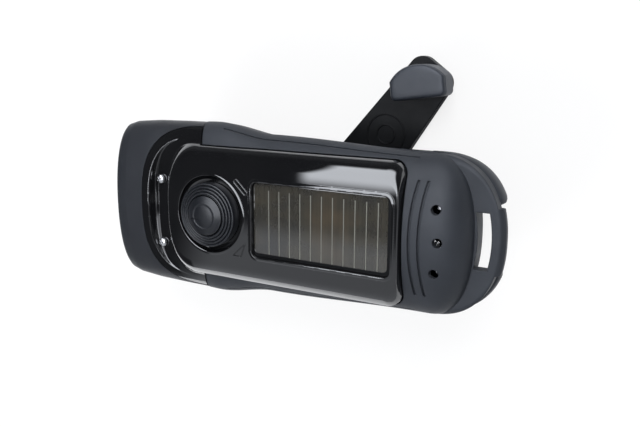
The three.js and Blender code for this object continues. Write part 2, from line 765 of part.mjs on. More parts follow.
function headBezel() {
  const outer = headLoft(headRearX, headFrontX, 0);
  const flange = cut(
    coverFootprint(wall, coverSeatZ - seatFlangeThickness, coverSeatZ),
    coverFootprint(-seatFlangeWidth, splitZ, deckZ),
    box(coverScrewPlaces[0][0] + bossRadius, headFrontX, -headHalfWidth, headHalfWidth, splitZ, deckZ),
  ).intersect(headLoft(headRearX, headFrontX, bezelWall / 2));
  const columns = coverScrewPlaces.map(([x, y]) =>
    disc(x, y, bossRadius, undersideZ + bezelWall / 2, coverColumnTopZ, smallSteps));
  return cut(
    join(
      cut(
        outer,
        headLoft(headRearX - gap / 2, frontWallX, bezelWall),
                frontOpening(),
        coverFootprint(gap, coverSeatZ, deckZ + overrun),
      ),
      flange,
      ...columns,
    ),
    railZone(gap),
    housingLoft(-gap, housingZ, splitZ),
    box(headRearX - overrun, hullFrontX + gap, -lobeHalfWidth, lobeHalfWidth, undersideZ - overrun, splitZ),
    ...coverScrewPlaces.map(([x, y]) => disc(x, y, screwShankRadius + gap, splitZ, deckZ, smallSteps)),
  );
}

// Flared mouth in front of the lens
function frontOpening() {
  const rim = headSection(headFrontX, rimOpeningInset);
  return loft([
    rim.map(([, y, z]) => [frontWallX - gap, y, z]),
    rim.map(([, y, z]) => [headFrontX + gap, y * mouthFlareShare, lerp(sideZ, z, mouthFlareShare)]),
  ]);
}

function plateauLoft(inset, bottomZ) {
  const rim = plateauOutline(inset, inset, inset).map(([x, y]) => [x, y, bottomZ]);
  const levels = plateauHeightShares.map((height, i) => {
    const share = plateauInsetShares[i];
    const z = lerp(footZ, deckZ, height) - inset;
    return plateauOutline(
      inset + share * plateauSideInset,
      inset + share * plateauFrontInset,
      inset + share * plateauTailInset,
    ).map(([x, y]) => [x, y, z]);
  });
  return loft([rim, ...levels]);
}

function panelOutline(margin) {
  const corner = panelCorner + Math.max(margin, 0);
  return roundedRectangle(panelTailX - margin, panelHeadX + margin, panelHalfWidth + margin, corner);
}

function topCover() {
  const valley = mirrored(
    roundEnd(railInnerFrontX, valleyFrontX, valleyHalfWidth, coverFrontExponent).reverse(),
  );
  const skin = cut(
    headLoft(headRearX, coverFrontX, 0).intersect(prism(coverHeadOutline(0), coverRimZ, deckZ)),
    prism(valley, valleyFloorZ, deckZ + overrun),
    railZone(gap),
  );
  const under = cut(
    headLoft(headRearX, coverFrontX, wall)
      .intersect(prism(coverHeadOutline(wall), coverRimZ - overrun, valleyFloorZ - wall)),
    railZone(gap + wall),
  );
  const padZ = panelZ - gap - wall / 2;
  const pad = prism(panelOutline(panelPadMargin), padZ, deckZ - wall / 2);
  const lip = prism(panelOutline(lipWidth), deckZ - wall / 2, deckZ + lipHeight);
  const buttonLip = turned([
    [0, deckZ - wall / 2], [buttonWellRadius + buttonLipWidth, deckZ - wall / 2],
    [buttonWellRadius + buttonLipWidth, deckZ],
    [buttonWellRadius + buttonLipWidth / 2, deckZ + buttonLipHeight], [0, deckZ + buttonLipHeight],
  ], buttonX, 0);
  const wellBottom = disc(buttonX, 0, buttonWellRadius, bootSeatZ - wall / 2, deckZ - wall / 2);
  const bosses = coverScrewPlaces.map(([x, y]) =>
    disc(x, y, bossRadius, coverColumnTopZ + gap, valleyFloorZ - wall / 2, smallSteps));
  const well = turned([
    [0, bootSeatZ], [bootRadius + gap, bootSeatZ], [buttonWellRadius, deckZ + buttonLipHeight],
    [buttonWellRadius, deckZ + overrun], [0, deckZ + overrun],
  ], buttonX, 0);
  return cut(
    join(cut(join(skin, plateauLoft(0, coverRimZ)), under, plateauLoft(wall, coverRimZ - overrun)),
      pad, lip, buttonLip, wellBottom, ...bosses),
    prism(panelOutline(0), panelZ - gap, deckZ + overrun),
    prism(panelOutline(-panelBorder), padZ - overrun, deckZ),
    well,
    disc(buttonX, 0, bootRadius - bootSeatWidth, coverRimZ, deckZ),
    ...coverScrewPlaces.map(([x, y]) => disc(x, y, screwShankRadius + gap, coverRimZ, deckZ, smallSteps)),
  );
}

// Power button and its switch

// Stepped rubber cone: rings that rise towards the dome
function buttonBoot() {
  const bottomZ = bootSeatZ + gap;
  const innerRadius = domeRadius + gap;
  const pitch = (bootRadius - innerRadius) / bootRingCount;
  const rise = bootRise / bootRingCount;
  const profile = [[innerRadius, bottomZ], [bootRadius, bottomZ]];
  for (let i = 0; i < bootRingCount; i++) {
    const outer = bootRadius - i * pitch;
    const topZ = bottomZ + bootWallHeight + i * rise;
    profile.push([outer, topZ], [outer - pitch * bootRingShare, topZ]);
  }
  profile.push([innerRadius, bottomZ + bootWallHeight + bootRise]);
  const points = [...profile, profile[0]].map(([radius, z]) => new THREE.Vector2(radius, z));
  const geometry = new THREE.LatheGeometry(points, roundSteps).rotateX(Math.PI / 2);
  geometry.translate(buttonX, 0, 0);
  return toSolid(facesOut(mergeVertices(stripped(geometry), mergeDistance)));
}

function powerButton() {
  const flangeZ = bootSeatZ - domeFlangeThickness;
  const profile = [
    [0, stemBottomZ], [stemRadius, stemBottomZ], [stemRadius, flangeZ], [domeRadius + domeFlange, flangeZ],
    [domeRadius + domeFlange, bootSeatZ], [domeRadius, bootSeatZ],
  ];
  const shoulder = domeHeight * domeShoulderShare;
  for (let i = 0; i < domeSteps; i++) {
    const angle = i / domeSteps * Math.PI / 2;
    const z = bootSeatZ + lerp(shoulder, domeHeight, Math.sin(angle));
    profile.push([domeRadius * Math.cos(angle), z]);
  }
  profile.push([0, bootSeatZ + domeHeight]);
  return turned(profile, buttonX, 0);
}

function powerSwitch() {
  const half = switchSize / 2;
  return cut(
    box(buttonX - half, buttonX + half, -half, half, switchZ, switchZ + switchHeight),
    disc(buttonX, 0, plungerRadius + gap, switchZ + wall / 2 - gap, deckZ, smallSteps),
  );
}

function switchPlunger() {
  return disc(buttonX, 0, plungerRadius, plungerBottomZ, plungerTopZ, smallSteps);
}

// Solar panel with its raised contact lines
function solarPanel() {
  const plate = prism(panelOutline(-gap), panelZ, panelZ + panelThickness);
  const headX = panelHeadX - contactLineHeadMargin;
  const lines = stations(headX, panelTailX + contactLineTailMargin, contactLineCount - 1).map((x) => {
    return box(
      x - contactLineWidth / 2, x + contactLineWidth / 2,
      contactLineSideMargin - panelHalfWidth, panelHalfWidth - 2 * gap,
      panelZ + panelThickness - contactLineHeight, panelZ + panelThickness + contactLineHeight,
    );
  });
  return join(plate, ...lines);
}

// Fasteners: a pan head on a plain shank
function screw(x, y, headRadius, headZ, length) {
  const crest = screwHeadHeight / 2;
  return turned([
    [0, headZ - length], [screwShankRadius, headZ - length], [screwShankRadius, headZ],
    [headRadius, headZ], [headRadius, headZ + crest],
    [headRadius - crest, headZ + screwHeadHeight], [0, headZ + screwHeadHeight],
  ], x, y, smallSteps);
}

function coverScrew(x, y) {
  return screw(x, y, coverScrewHeadRadius, valleyFloorZ + gap, coverScrewLength);
}

function tailScrew(y) {
  return screw(tailHoleX, y, tailHoleRadius - gap, tailScrewHeadZ - screwHeadHeight, coverScrewLength);
}

function boardScrew(x, y) {
  return screw(x, y, boardScrewHeadRadius, boardTopZ + gap, boardThickness + 2 * wall);
}

// Charge lamp in the middle hole of the tail
function chargeIndicator() {
  const topZ = crownTopZ(indicatorX, 0) - indicatorSink;
  const flangeZ = crownTopZ(indicatorX, 0) - 2 * wall;
  const radius = tailHoleRadius - gap;
  return turned([
    [0, flangeZ - wall], [radius + wall / 2, flangeZ - wall], [radius + wall / 2, flangeZ],
    [radius, flangeZ], [radius, topZ - radius / 2],
    [radius * indicatorTipShare, topZ], [0, topZ + indicatorTipHeight],
  ], indicatorX, 0, smallSteps);
}

// Crank, built pointing along X and turned to its angle by its group

function crankHub() {
  const cheeks = cut(
    disc(0, 0, hubRadius, 0, channelZ + wall / 2),
    box(-crankRadius, crankRadius, -neckWidth / 2 - gap, neckWidth / 2 + gap, -overrun, channelZ),
  );
  return cut(
    join(
      cheeks,
      disc(0, 0, hubRadius, channelZ, hubTopZ),
      box(-lugHalfWidth, lugHalfWidth, -lugHalfWidth, lugHalfWidth, 0, channelZ + wall / 2),
      disc(0, 0, hubShaftRadius, hubTopZ - wall / 2, shaftTopZ),
    ),
    foldPinShape(gap),
  );
}

function armOutline() {
  const rootRadius = hubRadius + 2 * gap;
  const shape = new THREE.Shape();
  const shoulder = Math.asin(armRootWidth / 2 / rootRadius);
  const neck = Math.asin(neckWidth / 2 / rootRadius);
  const cornerY = armTipWidth / 2 - armEndCorner;
  const cornerX = armEndRadius - armEndCorner;
  shape.moveTo(0, -neckWidth / 2);
  shape.lineTo(rootRadius * Math.cos(neck), -neckWidth / 2);
  shape.absarc(0, 0, rootRadius, -neck, -shoulder, true);
  shape.absarc(cornerX, -cornerY, armEndCorner, -Math.PI / 2, 0);
  shape.absarc(cornerX, cornerY, armEndCorner, 0, Math.PI / 2);
  shape.lineTo(rootRadius * Math.cos(shoulder), armRootWidth / 2);
  shape.absarc(0, 0, rootRadius, shoulder, neck, true);
  shape.lineTo(0, neckWidth / 2);
  return shape;
}

function crankArm() {
  const plate = prism(armOutline(), 0, armThickness);
  const knuckle = disc(0, 0, armThickness / 2, -neckWidth / 2, neckWidth / 2, smallSteps);
  const rings = emblemRingRadii.map((radius) => ring(
    emblemRadius, 0, radius + emblemRingWidth / 2, radius - emblemRingWidth / 2,
    armThickness - emblemRingHeight, armThickness + emblemRingHeight,
  ));
  return cut(
    join(plate, alongY(knuckle, 0, 0, armThickness / 2), ...rings),
    box(
      -lugHalfWidth, lugHalfWidth + forkClearance, -lugHalfWidth - gap, lugHalfWidth + gap,
      -overrun, armThickness + overrun,
    ),
    foldPinShape(gap),
    disc(crankRadius, 0, knobPinRadius + gap, -overrun, armThickness + overrun, smallSteps),
    disc(crankRadius, 0, knobPinHeadRadius + gap, -overrun, knobPinHeadThickness + 2 * gap, smallSteps),
  );
}

// Pin that the arm folds on, or the bore for it with a margin
function foldPinShape(margin) {
  const halfLength = foldPinHalfLength + margin;
  const pin = disc(0, 0, foldPinRadius + margin, -halfLength, halfLength, smallSteps);
  return alongY(pin, 0, 0, armThickness / 2);
}

function knobPin() {
  return turned([
    [0, gap], [knobPinHeadRadius, gap], [knobPinHeadRadius, gap + knobPinHeadThickness],
    [knobPinRadius, gap + knobPinHeadThickness], [knobPinRadius, knobTopZ - knobRoof - gap],
    [0, knobTopZ - knobRoof - gap],
  ], crankRadius, 0, smallSteps);
}

// D-shaped grip: a flat side, short straight ends and a bowed back
function knobShape(inset) {
  const half = knobHalfWidth - inset;
  const flatY = knobFlatY - inset;
  const corner = knobCorner - inset;
  const backY = knobBackY + inset;
  const shape = new THREE.Shape();
  shape.moveTo(half, knobSideY);
  shape.lineTo(half, flatY - corner);
  shape.absarc(half - corner, flatY - corner, corner, 0, Math.PI / 2);
  shape.lineTo(corner - half, flatY);
  shape.absarc(corner - half, flatY - corner, corner, Math.PI / 2, Math.PI);
  shape.lineTo(-half, knobSideY);
  shape.quadraticCurveTo(-half / 2, backY, 0, backY);
  shape.quadraticCurveTo(half / 2, backY, half, knobSideY);
  return shape.getPoints(cornerSteps).slice(0, -1).map(({ x, y }) => [x, y]);
}

function crankKnob() {
  const levels = [
    [knobBevel, knobZ], [0, knobZ + knobBevel], [0, knobTopZ - knobBevel], [knobBevel, knobTopZ],
  ];
  const turn = knobAngle - armAngle;
  const grip = loft(levels.map(([inset, z]) => knobShape(inset).map(([x, y]) => [
    crankRadius + x * Math.cos(turn) - y * Math.sin(turn), x * Math.sin(turn) + y * Math.cos(turn), z,
  ])));
  const bore = disc(crankRadius, 0, knobPinRadius + gap, knobZ - overrun, knobTopZ - knobRoof, smallSteps);
  return cut(grip, bore);
}

// Gears and generator

function pitchRadius(teeth) {
  return teeth * gearModule / 2;
}

// Spur gear with a tooth centred on the given direction
function spurGear(x, y, teeth, direction, bottomZ, topZ) {
  const radius = pitchRadius(teeth);
  const pitch = 2 * Math.PI / teeth;
  const corners = [
    [radius - dedendumShare * gearModule, rootWidthShare / 2],
    [radius + addendumShare * gearModule, tipWidthShare / 2],
  ];
  const outline = [];
  for (let i = 0; i < teeth; i++) {
    const middle = direction + i * pitch;
    for (const [r, share] of corners) outline.push(polar(x, y, r, middle - share * pitch));
    for (const [r, share] of [...corners].reverse()) outline.push(polar(x, y, r, middle + share * pitch));
  }
  return prism(outline, bottomZ, topZ);
}

const polar = (x, y, radius, angle) => [x + radius * Math.cos(angle), y + radius * Math.sin(angle)];

function crankGear() {
  return cut(
    spurGear(0, 0, crankTeeth, 0, gearZ, gearTopZ),
    disc(0, 0, hubShaftRadius + gap, gearZ - overrun, gearTopZ + overrun),
  );
}

function idlerGear() {
  const facingGap = Math.PI + Math.PI / idlerPinionTeeth;
  return cut(
    join(
      spurGear(idlerX, 0, idlerPinionTeeth, facingGap, gearZ, wheelZ + gearThickness / 2),
      spurGear(idlerX, 0, idlerWheelTeeth, rotorDirection, wheelZ, wheelTopZ),
    ),
    disc(idlerX, 0, axleRadius + gap, gearZ - overrun, wheelTopZ + overrun, smallSteps),
  );
}

function rotorShaft() {
  const facingGap = rotorDirection + Math.PI + Math.PI / rotorTeeth;
  return join(
    spurGear(rotorX, rotorY, rotorTeeth, facingGap, wheelZ, wheelTopZ),
    disc(rotorX, rotorY, rotorShaftRadius, wheelZ, caseZ + caseHeight, smallSteps),
  );
}

function gearPlate() {
  const plate = prism(roundedRectangle(
    postXs[0] - postMargin, postXs[1] + postMargin, postY + postMargin, gearPlateCorner,
  ), plateZ, plateTopZ);
  const holes = [
    ...postPlaces.map(([x, y]) => [x, y, postTipRadius]),
    [idlerX, 0, axleRadius],
    [rotorX, rotorY, rotorShaftRadius],
  ];
  return cut(plate, ...holes.map(([x, y, radius]) =>
    disc(x, y, radius + gap, plateZ - overrun, plateTopZ + overrun, smallSteps)));
}

function idlerAxle() {
  return disc(idlerX, 0, axleRadius, housingFloorZ + gap, plateTopZ, smallSteps);
}

function rotorMagnet() {
  const boreRadius = rotorShaftRadius + gap;
  return ring(rotorX, rotorY, magnetRadius, boreRadius, windingZ, windingZ + windingHeight);
}

function statorCoil() {
  const outerRadius = caseRadius - caseWall - gap;
  return ring(rotorX, rotorY, outerRadius, coilInnerRadius, windingZ, windingZ + windingHeight);
}

// Bush that the hub's shaft turns in, with a flange under the crank gear
function hubBush() {
  return cut(
    join(
      disc(0, 0, bushRadius, wellFloorZ, hubFloorTopZ + gap + wall / 4),
      disc(0, 0, bushFlangeRadius, hubFloorTopZ + gap, gearZ - gap),
    ),
    disc(0, 0, hubShaftRadius + gap, wellFloorZ - overrun, gearZ + overrun),
  );
}

function hubClip() {
  return ring(0, 0, clipRadius, hubShaftRadius + gap, clipZ, clipZ + clipThickness);
}

function generatorCase() {
  const topZ = caseZ + caseHeight;
  return cut(
    disc(rotorX, rotorY, caseRadius, caseZ, topZ),
    disc(rotorX, rotorY, caseRadius - caseWall, caseZ - overrun, topZ - caseWall),
    disc(rotorX, rotorY, rotorShaftRadius + gap, caseZ, topZ + overrun, smallSteps),
  );
}

// Batteries: round cells in a row across the housing, in a cradle

function batteryCell(index) {
  const y = (index - (cellCount - 1) / 2) * (cellThickness + gap);
  const cell = turned([
    [0, 0], [cellRadius - gap, 0], [cellRadius, gap], [cellRadius, cellThickness - 2 * gap],
    [cellRadius - 2 * gap, cellThickness - gap], [cellRadius / 2, cellThickness - gap],
    [cellRadius / 2, cellThickness], [0, cellThickness],
  ], 0, 0);
  return alongY(cell, cellStackX, y - cellThickness / 2, cellZ);
}

function batteryTray() {
  const inner = (cellThickness + gap) * cellCount / 2 + gap;
  const floorZ = housingFloorZ + gap;
  const trough = disc(0, 0, cellRadius + gap, -inner, inner);
  return cut(
    box(
      cellStackX - trayHalfLength, cellStackX + trayHalfLength, -inner - trayWall, inner + trayWall,
      floorZ, floorZ + trayHeight,
    ),
    alongY(trough, cellStackX, 0, cellZ),
  );
}

function mainBoard() {
  const outline = roundedRectangle(boardTailX, boardHeadX, boardHalfWidth, boardCorner);
  const chipHalf = switchSize / 2;
  const chip = box(-chipHalf, chipHalf, -chipHalf, chipHalf, boardZ, boardTopZ + wall / 2);
  const capacitor = disc(boardTailX / 2, 0, capacitorRadius, boardZ, boardTopZ + wall, smallSteps);
  return cut(
    join(prism(outline, boardZ, boardTopZ), chip, capacitor),
    ...postPlaces.map(([x, y]) => disc(x, y, screwShankRadius + gap, boardZ - overrun, deckZ, smallSteps)),
  );
}

// Lamp optics, along X

function reflector() {
  const depth = reflectorFrontX - reflectorRearX;
  const cup = [[0, -overrun], [cupThroatRadius, -overrun], [cupThroatRadius, 0]];
  for (let i = 1; i <= cupSteps; i++) {
    const share = i / cupSteps;
    cup.push([lerp(cupThroatRadius, cupRadius, Math.sqrt(share)), depth * share]);
  }
  cup.push([cupRadius, depth + overrun], [0, depth + overrun]);
  const cups = ledPlaces.map((y) => alongX(turned(cup, 0, 0), reflectorRearX, y, ledZ));
  return cut(headLoft(reflectorRearX, reflectorFrontX, opticsWall), ...cups);
}

function ledLamp(y) {
  const led = turned([
    [0, 0], [ledRadius + ledFlange, 0], [ledRadius + ledFlange, 2 * ledFlange],
    [ledRadius, 2 * ledFlange], [ledRadius, ledLength - ledRadius],
    [ledRadius * ledTipShare, ledLength - ledTipDrop], [0, ledLength],
  ], 0, 0, smallSteps);
  return alongX(led, reflectorRearX, y, ledZ);
}

function ledBoard() {
  const halfWidth = (ledCount - 1) / 2 * ledSpacing + 2 * ledRadius;
  return box(
    ledBoardX, ledBoardX + ledBoardThickness, -halfWidth, halfWidth,
    ledZ - ledBoardHalfHeight, ledZ + ledBoardHalfHeight,
  );
}

function lensGasket() {
  const fromX = lensFrontX + gap;
  return cut(
    headLoft(fromX, fromX + gasketThickness, opticsWall),
    headLoft(fromX - gap, fromX + gasketThickness + gap, rimOpeningInset - gap),
  );
}

// Assembly

const group = new THREE.Group();
const crank = new THREE.Group();
crank.rotation.z = armAngle;
group.add(crank);

const finishes = {
  gloss: ['#0b0c0e', 0.08],
  matte: ['#3a3e45', 0.62],
  satin: ['#15171a', 0.4],
  rubber: ['#2a2d33', 0.55],
  chrome: ['#d4d6da', 0.15, 1],
  steel: ['#8f9399', 0.35, 1],
  copper: ['#a35c32', 0.4, 1],
  nylon: ['#d9d5c8', 0.5],
  circuit: ['#1f4a31', 0.5],
  cell: ['#3b3730', 0.2],
  clear: ['#dfe6ea', 0.05],
};

function addPiece(name, solid, finish, parent = group) {
  const [color, roughness, metalness = 0] = finishes[finish];
  const mesh = new THREE.Mesh(
    toGeometry(solid),
    new THREE.MeshStandardMaterial({ color, roughness, metalness }),
  );
  mesh.name = name;
  parent.add(mesh);
}

addPiece('top_cover', topCover(), 'gloss');
addPiece('bumper_frame', bumperFrame(), 'matte');
addPiece('bottom_shell', bottomShell(), 'matte');
addPiece('head_bezel', headBezel(), 'matte');
addPiece('lens', headLoft(lensRearX, lensFrontX, opticsWall), 'clear');
addPiece('lens_gasket', lensGasket(), 'rubber');
addPiece('reflector', reflector(), 'chrome');
addPiece('led_board', ledBoard(), 'circuit');
addPiece('solar_panel', solarPanel(), 'cell');
addPiece('button_boot', buttonBoot(), 'rubber');
addPiece('power_button', powerButton(), 'rubber');
addPiece('power_switch', powerSwitch(), 'satin');
addPiece('switch_plunger', switchPlunger(), 'nylon');
addPiece('charge_indicator', chargeIndicator(), 'clear');
addPiece('main_board', mainBoard(), 'circuit');
addPiece('battery_tray', batteryTray(), 'satin');
addPiece('gear_plate', gearPlate(), 'steel');
addPiece('idler_axle', idlerAxle(), 'steel');
addPiece('idler_gear', idlerGear(), 'nylon');
addPiece('rotor_shaft', rotorShaft(), 'steel');
addPiece('rotor_magnet', rotorMagnet(), 'steel');
addPiece('stator_coil', statorCoil(), 'copper');
addPiece('generator_case', generatorCase(), 'steel');
addPiece('hub_bush', hubBush(), 'nylon');
addPiece('crank_gear', crankGear(), 'nylon');
addPiece('hub_clip', hubClip(), 'steel');
addPiece('crank_hub', crankHub(), 'satin', crank);
addPiece('fold_pin', foldPinShape(0), 'steel', crank);
addPiece('crank_arm', crankArm(), 'satin', crank);
addPiece('knob_pin', knobPin(), 'steel', crank);
addPiece('crank_knob', crankKnob(), 'matte', crank);

ledPlaces.forEach((y, i) => addPiece(`led_${i + 1}`, ledLamp(y), 'clear'));
coverScrewPlaces.forEach(([x, y], i) => addPiece(`cover_screw_${i + 1}`, coverScrew(x, y), 'chrome'));
tailScrewYs.forEach((y, i) => addPiece(`tail_screw_${i + 1}`, tailScrew(y), 'steel'));
postPlaces.forEach(([x, y], i) => addPiece(`board_screw_${i + 1}`, boardScrew(x, y), 'steel'));
for (let i = 0; i < cellCount; i++) addPiece(`battery_cell_${i + 1}`, batteryCell(i), 'steel');

export default group;
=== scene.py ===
import bmesh
import bpy
import numpy as np
from math import asin, atan2, cos, hypot, pi, radians, sin, sqrt
from mathutils import Matrix, Vector
from mathutils.geometry import delaunay_2d_cdt


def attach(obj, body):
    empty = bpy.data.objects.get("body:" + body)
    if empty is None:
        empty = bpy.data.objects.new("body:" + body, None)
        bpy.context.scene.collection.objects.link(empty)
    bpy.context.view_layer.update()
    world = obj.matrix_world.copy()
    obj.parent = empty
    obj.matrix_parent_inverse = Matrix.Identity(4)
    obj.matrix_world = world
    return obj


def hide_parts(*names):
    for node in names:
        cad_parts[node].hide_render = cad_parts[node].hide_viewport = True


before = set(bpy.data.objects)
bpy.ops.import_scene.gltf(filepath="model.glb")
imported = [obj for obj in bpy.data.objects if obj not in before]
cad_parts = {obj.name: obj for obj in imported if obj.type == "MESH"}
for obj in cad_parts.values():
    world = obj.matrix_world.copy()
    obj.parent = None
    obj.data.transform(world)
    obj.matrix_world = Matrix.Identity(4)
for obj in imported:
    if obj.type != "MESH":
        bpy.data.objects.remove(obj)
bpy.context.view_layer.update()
MM = 0.001
GAP = 0.3
OVERRUN = 3  # how far cuts and joined shapes reach past each other
SLIVER = 0.002  # what is shorter than this after a cut is melted away

# Camera
CAMERA_PLACE = (-125.31, -57.32, 249.9)
CAMERA_RIGHT = (-0.88117, -0.00615, -0.47275)
CAMERA_BACK = (-0.46009, -0.21913, 0.86041)
LENS = 41.705

# Brightness of what glossy surfaces reflect, and its edges in shares of the upright direction
SOFT_BOX, GREY_WALL, HORIZON, DARK = 6, 0.58, 0.1, 0.02
GLOSSY_TINT = (0.95, 0.985, 1.05)
BOX_SLANT, BOX_HEAD_EDGE, BOX_TAIL_EDGE = 0.05, (0.56, 0.53), (-0.55, -0.25)
BOX_LOW_EDGE, BOX_HIGH_EDGE = (0.212, 0.192), (-0.92, -0.82)
WALL_SIDE_EDGE, WALL_HEAD_EDGE, HORIZON_EDGE = (0.262, 0.3), (0.79, 0.69), (0.3, 0.02)

# Lamps in metres, and the floor
LAMP_TARGET = (0, 0, 0.03)
FLOOR_HALF, FLOOR_GLOW = 2500, 0.8

# The casing's sizes
HEAD_FRONT_X, HEAD_X, HEAD_HALF = 73.5, 44, 30.7
RAIL_FRONT_X, RAIL_INNER_X = 36, 33.8
LOBE_X, LOBE_HALF = 31, 31.2
WAIST_X, WAIST_HALF = 8, 28
HIP_X, HIP_HALF = -50, 26
TAIL_X, CROWN_END_X, HULL_END_X, HULL_FRONT_X = -73.25, -64, -61.4, 48
SIDE_Z, SPLIT_Z, CROWN_Z, DECK_Z, UNDER_Z = 33.5, 27, 44.2, 45, 14.6
SKIRT = 1.3
TAIL_POWER, CROWN_POWER = 2.35, 2.3
HEAD_TOP_Z, HEAD_POWER, KEEL_POWER, HEAD_STEPS = 43.9, 2.2, 2.2, 128
HEAD_STATIONS = [0, 0.3, 0.62, 0.86, 0.96, 1]
HEAD_WIDTHS = [1.003, 1, 0.99, 0.965, 0.925, 0.85]
HEAD_HEIGHTS = [1, 1, 0.985, 0.955, 0.915, 0.85]
RIM, RIM_INSET, BEZEL_WALL, WALL = 2.5, 5.2, 2.2, 2
RIM_ROUND, MOUTH_FLARE = 1.0, 1.05
RIM_STEPS = ((0.35, 0.08), (0.7, 0.33), (0.93, 0.68), (1.0, 1.0))
HEAD_REAR_X = RAIL_INNER_X + GAP

# The cover
COVER_TAIL_X, COVER_HALF, COVER_CORNER = -43.3, 23.6, 5
COVER_FRONT_X, COVER_HEAD_HALF, COVER_POWER = 59.6, 29.2, 3
PLATEAU_POWER, PLATEAU_FRONT_X, FOOT_Z = 2.6, 49.2, 41.5
SIDE_INSET, FRONT_INSET, TAIL_INSET = 5.6, 3.6, 1.2
COVER_SEAT_Z, COVER_THICK, WELL_WALL_DEPTH = 34.9, 1.8, 1.5
VALLEY_Z, VALLEY_FRONT_X, VALLEY_HALF, VALLEY_SLOPE = 40.6, 56, 26, 4
VALLEY_FOOT_BLEND, VALLEY_TOP_BLEND, PLATEAU_BLEND = 0.3, 1.1, 0.9
FOOT_FALL, FAR_BELOW = 1.5, -10.0
BEAD_POWER, BEAD_START, BEAD_FOOT = 2.4, 0.18, 0.35

# The cover's mesh: its grid, and the offsets of the rings that follow its curves
GRID_STEP, GRID_SHIFT, SLOPE_STEP = 0.42, (0.13, 0.11), 0.02
ON_EDGE, CHORD_SHARE = 0.02, 0.9998
WINDOW_RINGS = (0.1, 0.25, 0.45, 0.65, 0.85, 1.0, 1.1, 1.3)
WELL_RINGS = (0.1, 0.25, 0.45, 0.6, 0.75, 0.88, 0.95, 1.1)
BEVEL_RINGS = (-0.04, 0.01, 0.06, 0.12, 0.2, 0.3, 0.42, 0.55, 0.68, 0.8, 0.88, 0.94, 0.98, 1.0,
               1.04)
VALLEY_RINGS = np.arange(-0.6, 1.7, 0.14)

# The frame's slot, holes and grooves
SLOT_X, SLOT_HALF, SLOT_WIDTH, SLOT_BOW = -66, 9, 4.3, -1
HOLE_R, HOLE_LOW_Z, HOLE_HIGH_Z = 1.5, 34, 48
TAIL_HOLES = ((-53.9, -10), (-53.9, 10), (-54.9, 0))
GROOVES_X = (-45.8, -48.9)
GROOVE_HALF, GROOVE_WIDTH, GROOVE_BOW, GROOVE_DEPTH = 18.2, 0.8, 1.8, 0.7
RAIL_GROOVE_ANGLE, RAIL_GROOVE_ENDS = radians(19), (27, -46)
RAIL_GROOVE_SECTION = ((-0.4, 0.5), (0.4, 0.5), (0.16, -0.5), (-0.16, -0.5))
FLANGE_THICK, FLANGE_WIDTH = 1.5, 3

# The panel
PANEL_HEAD, PANEL_TAIL, PANEL_HALF, PANEL_CORNER, PANEL_Z = 10.8, -40.2, 13, 2.2, DECK_Z - 1.2
LIP, LIP_RISE = 1.1, 0.28
# Width of the panel's black edge: the wide sides are painted shade from the recess, the narrow
# sides the plain edge
BORDER_WIDE_PAINTED_SHADE, BORDER_NARROW = 1.25, 0.4
LINE_START, LINE_PITCH, LINE_COUNT = 4.4, 4, 11
LINE_HALF_WIDTH, LINE_ENDS_Y, LINE_RISE = 0.16, (2.6 - 13, 11.9), 0.04

# The button
BUTTON_X, WELL_R, BOOT_R, DOME_R = 28, 13.6, 11.3, 6.9
WELL_LIP, WELL_LIP_RISE, WELL_HOLE_R = 0.9, 0.16, 8.6
BOOT_WALL, BOOT_RISE, BOOT_STEPS = 3.7, 1.2, 4
BOOT_EDGE = ((0, -0.34), (0.05, -0.18), (0.16, -0.06), (0.32, 0))
BOOT_GROOVE = ((0.60, 0.02), (0.72, -0.04), (0.80, -0.16), (0.86, -0.34), (0.94, -0.38))
DOME_HEIGHT, DOME_SHOULDER, DOME_RING_R, DOME_FOOT_Z = 6.3, 0.8, 4.15, 41.2
BOOT_SEAT_Z = DECK_Z - 2

# The ledge, the ears, the hull and the gear housing
LEDGE_Z, LEDGE_THICK, NOTCH_HALF = 35.4, 4, 10.4
LEDGE_ROUND, LEDGE_FALL, LEDGE_BACK = 2.1, 1.5, 1.3
HULL_TOP_Z, HULL_STEP, HULL_POWER = 26.7, 0.9, 3
HOUSING_Z, HOUSING_TOP_Z, HOUSING_R, HOUSING_HALF = 4.2, 23, 46, 23.6
HOUSING_DRAFT, HOUSING_EDGE, HOUSING_CORNER = 1.2, 1.4, 3.5
EAR_BOTTOM_Z, EAR_THICK, EAR_CORNER = 20.5, 3, 2.4
EAR_LEVELS = [(2, EAR_BOTTOM_Z), (1.1, 23.5), (0.55, 26), (0.35, 28), (0.4, 29.4), (0.6, 30.3),
              (0.95, 30.85)]  # inset and height
BOSS_Z, WELL_FLARE, BUSH_HOLE_R = 5.2, 1.6, 6.3

# The crank
CHANNEL_Z, HUB_TOP_Z, HUB_R, HUB_SHAFT_R, HUB_SHAFT_Z = 3.9, 7, 18, 4, 19
NECK_HALF, LUG_HALF, BORE_R, BORE_HALF = 6.5, 3, 1.2, 15.8
ARM_ANGLE, ARM_T, CRANK_R = radians(-127.1), 3.6, 57.7
ARM_ROOT_WIDTH, ARM_TIP_WIDTH, ARM_END_R, ARM_CORNER, ARM_EDGE = 23.4, 17, 64.5, 4.9, 0.55
EMBLEM_X, EMBLEM_RADII, EMBLEM_HALF_WIDTH, EMBLEM_RISE = 33.6, (7.2, 3.4), 0.28, 0.22
KNOB_ANGLE, KNOB_HEIGHT, KNOB_CORNER, KNOB_BULGE = radians(7.6), 9.8, 1.8, 0.62
KNOB_HALF, KNOB_FLAT, KNOB_BACK, KNOB_SIDE = 9.8, 5.6, -5.9, -1
KNOB_FOOT = ((1.1, 0), (0.45, 0.15), (0.1, 0.5), (0, 1.0))  # inset and height above the foot
KNOB_TOP = ((0, 2.0), (0.55, 1.8), (0.55, 1.45), (0, 1.3), (0.05, 0.9), (0.3, 0.4), (0.75, 0.14),
            (1.4, 0.04), (2.6, 0))  # inset and depth under the top

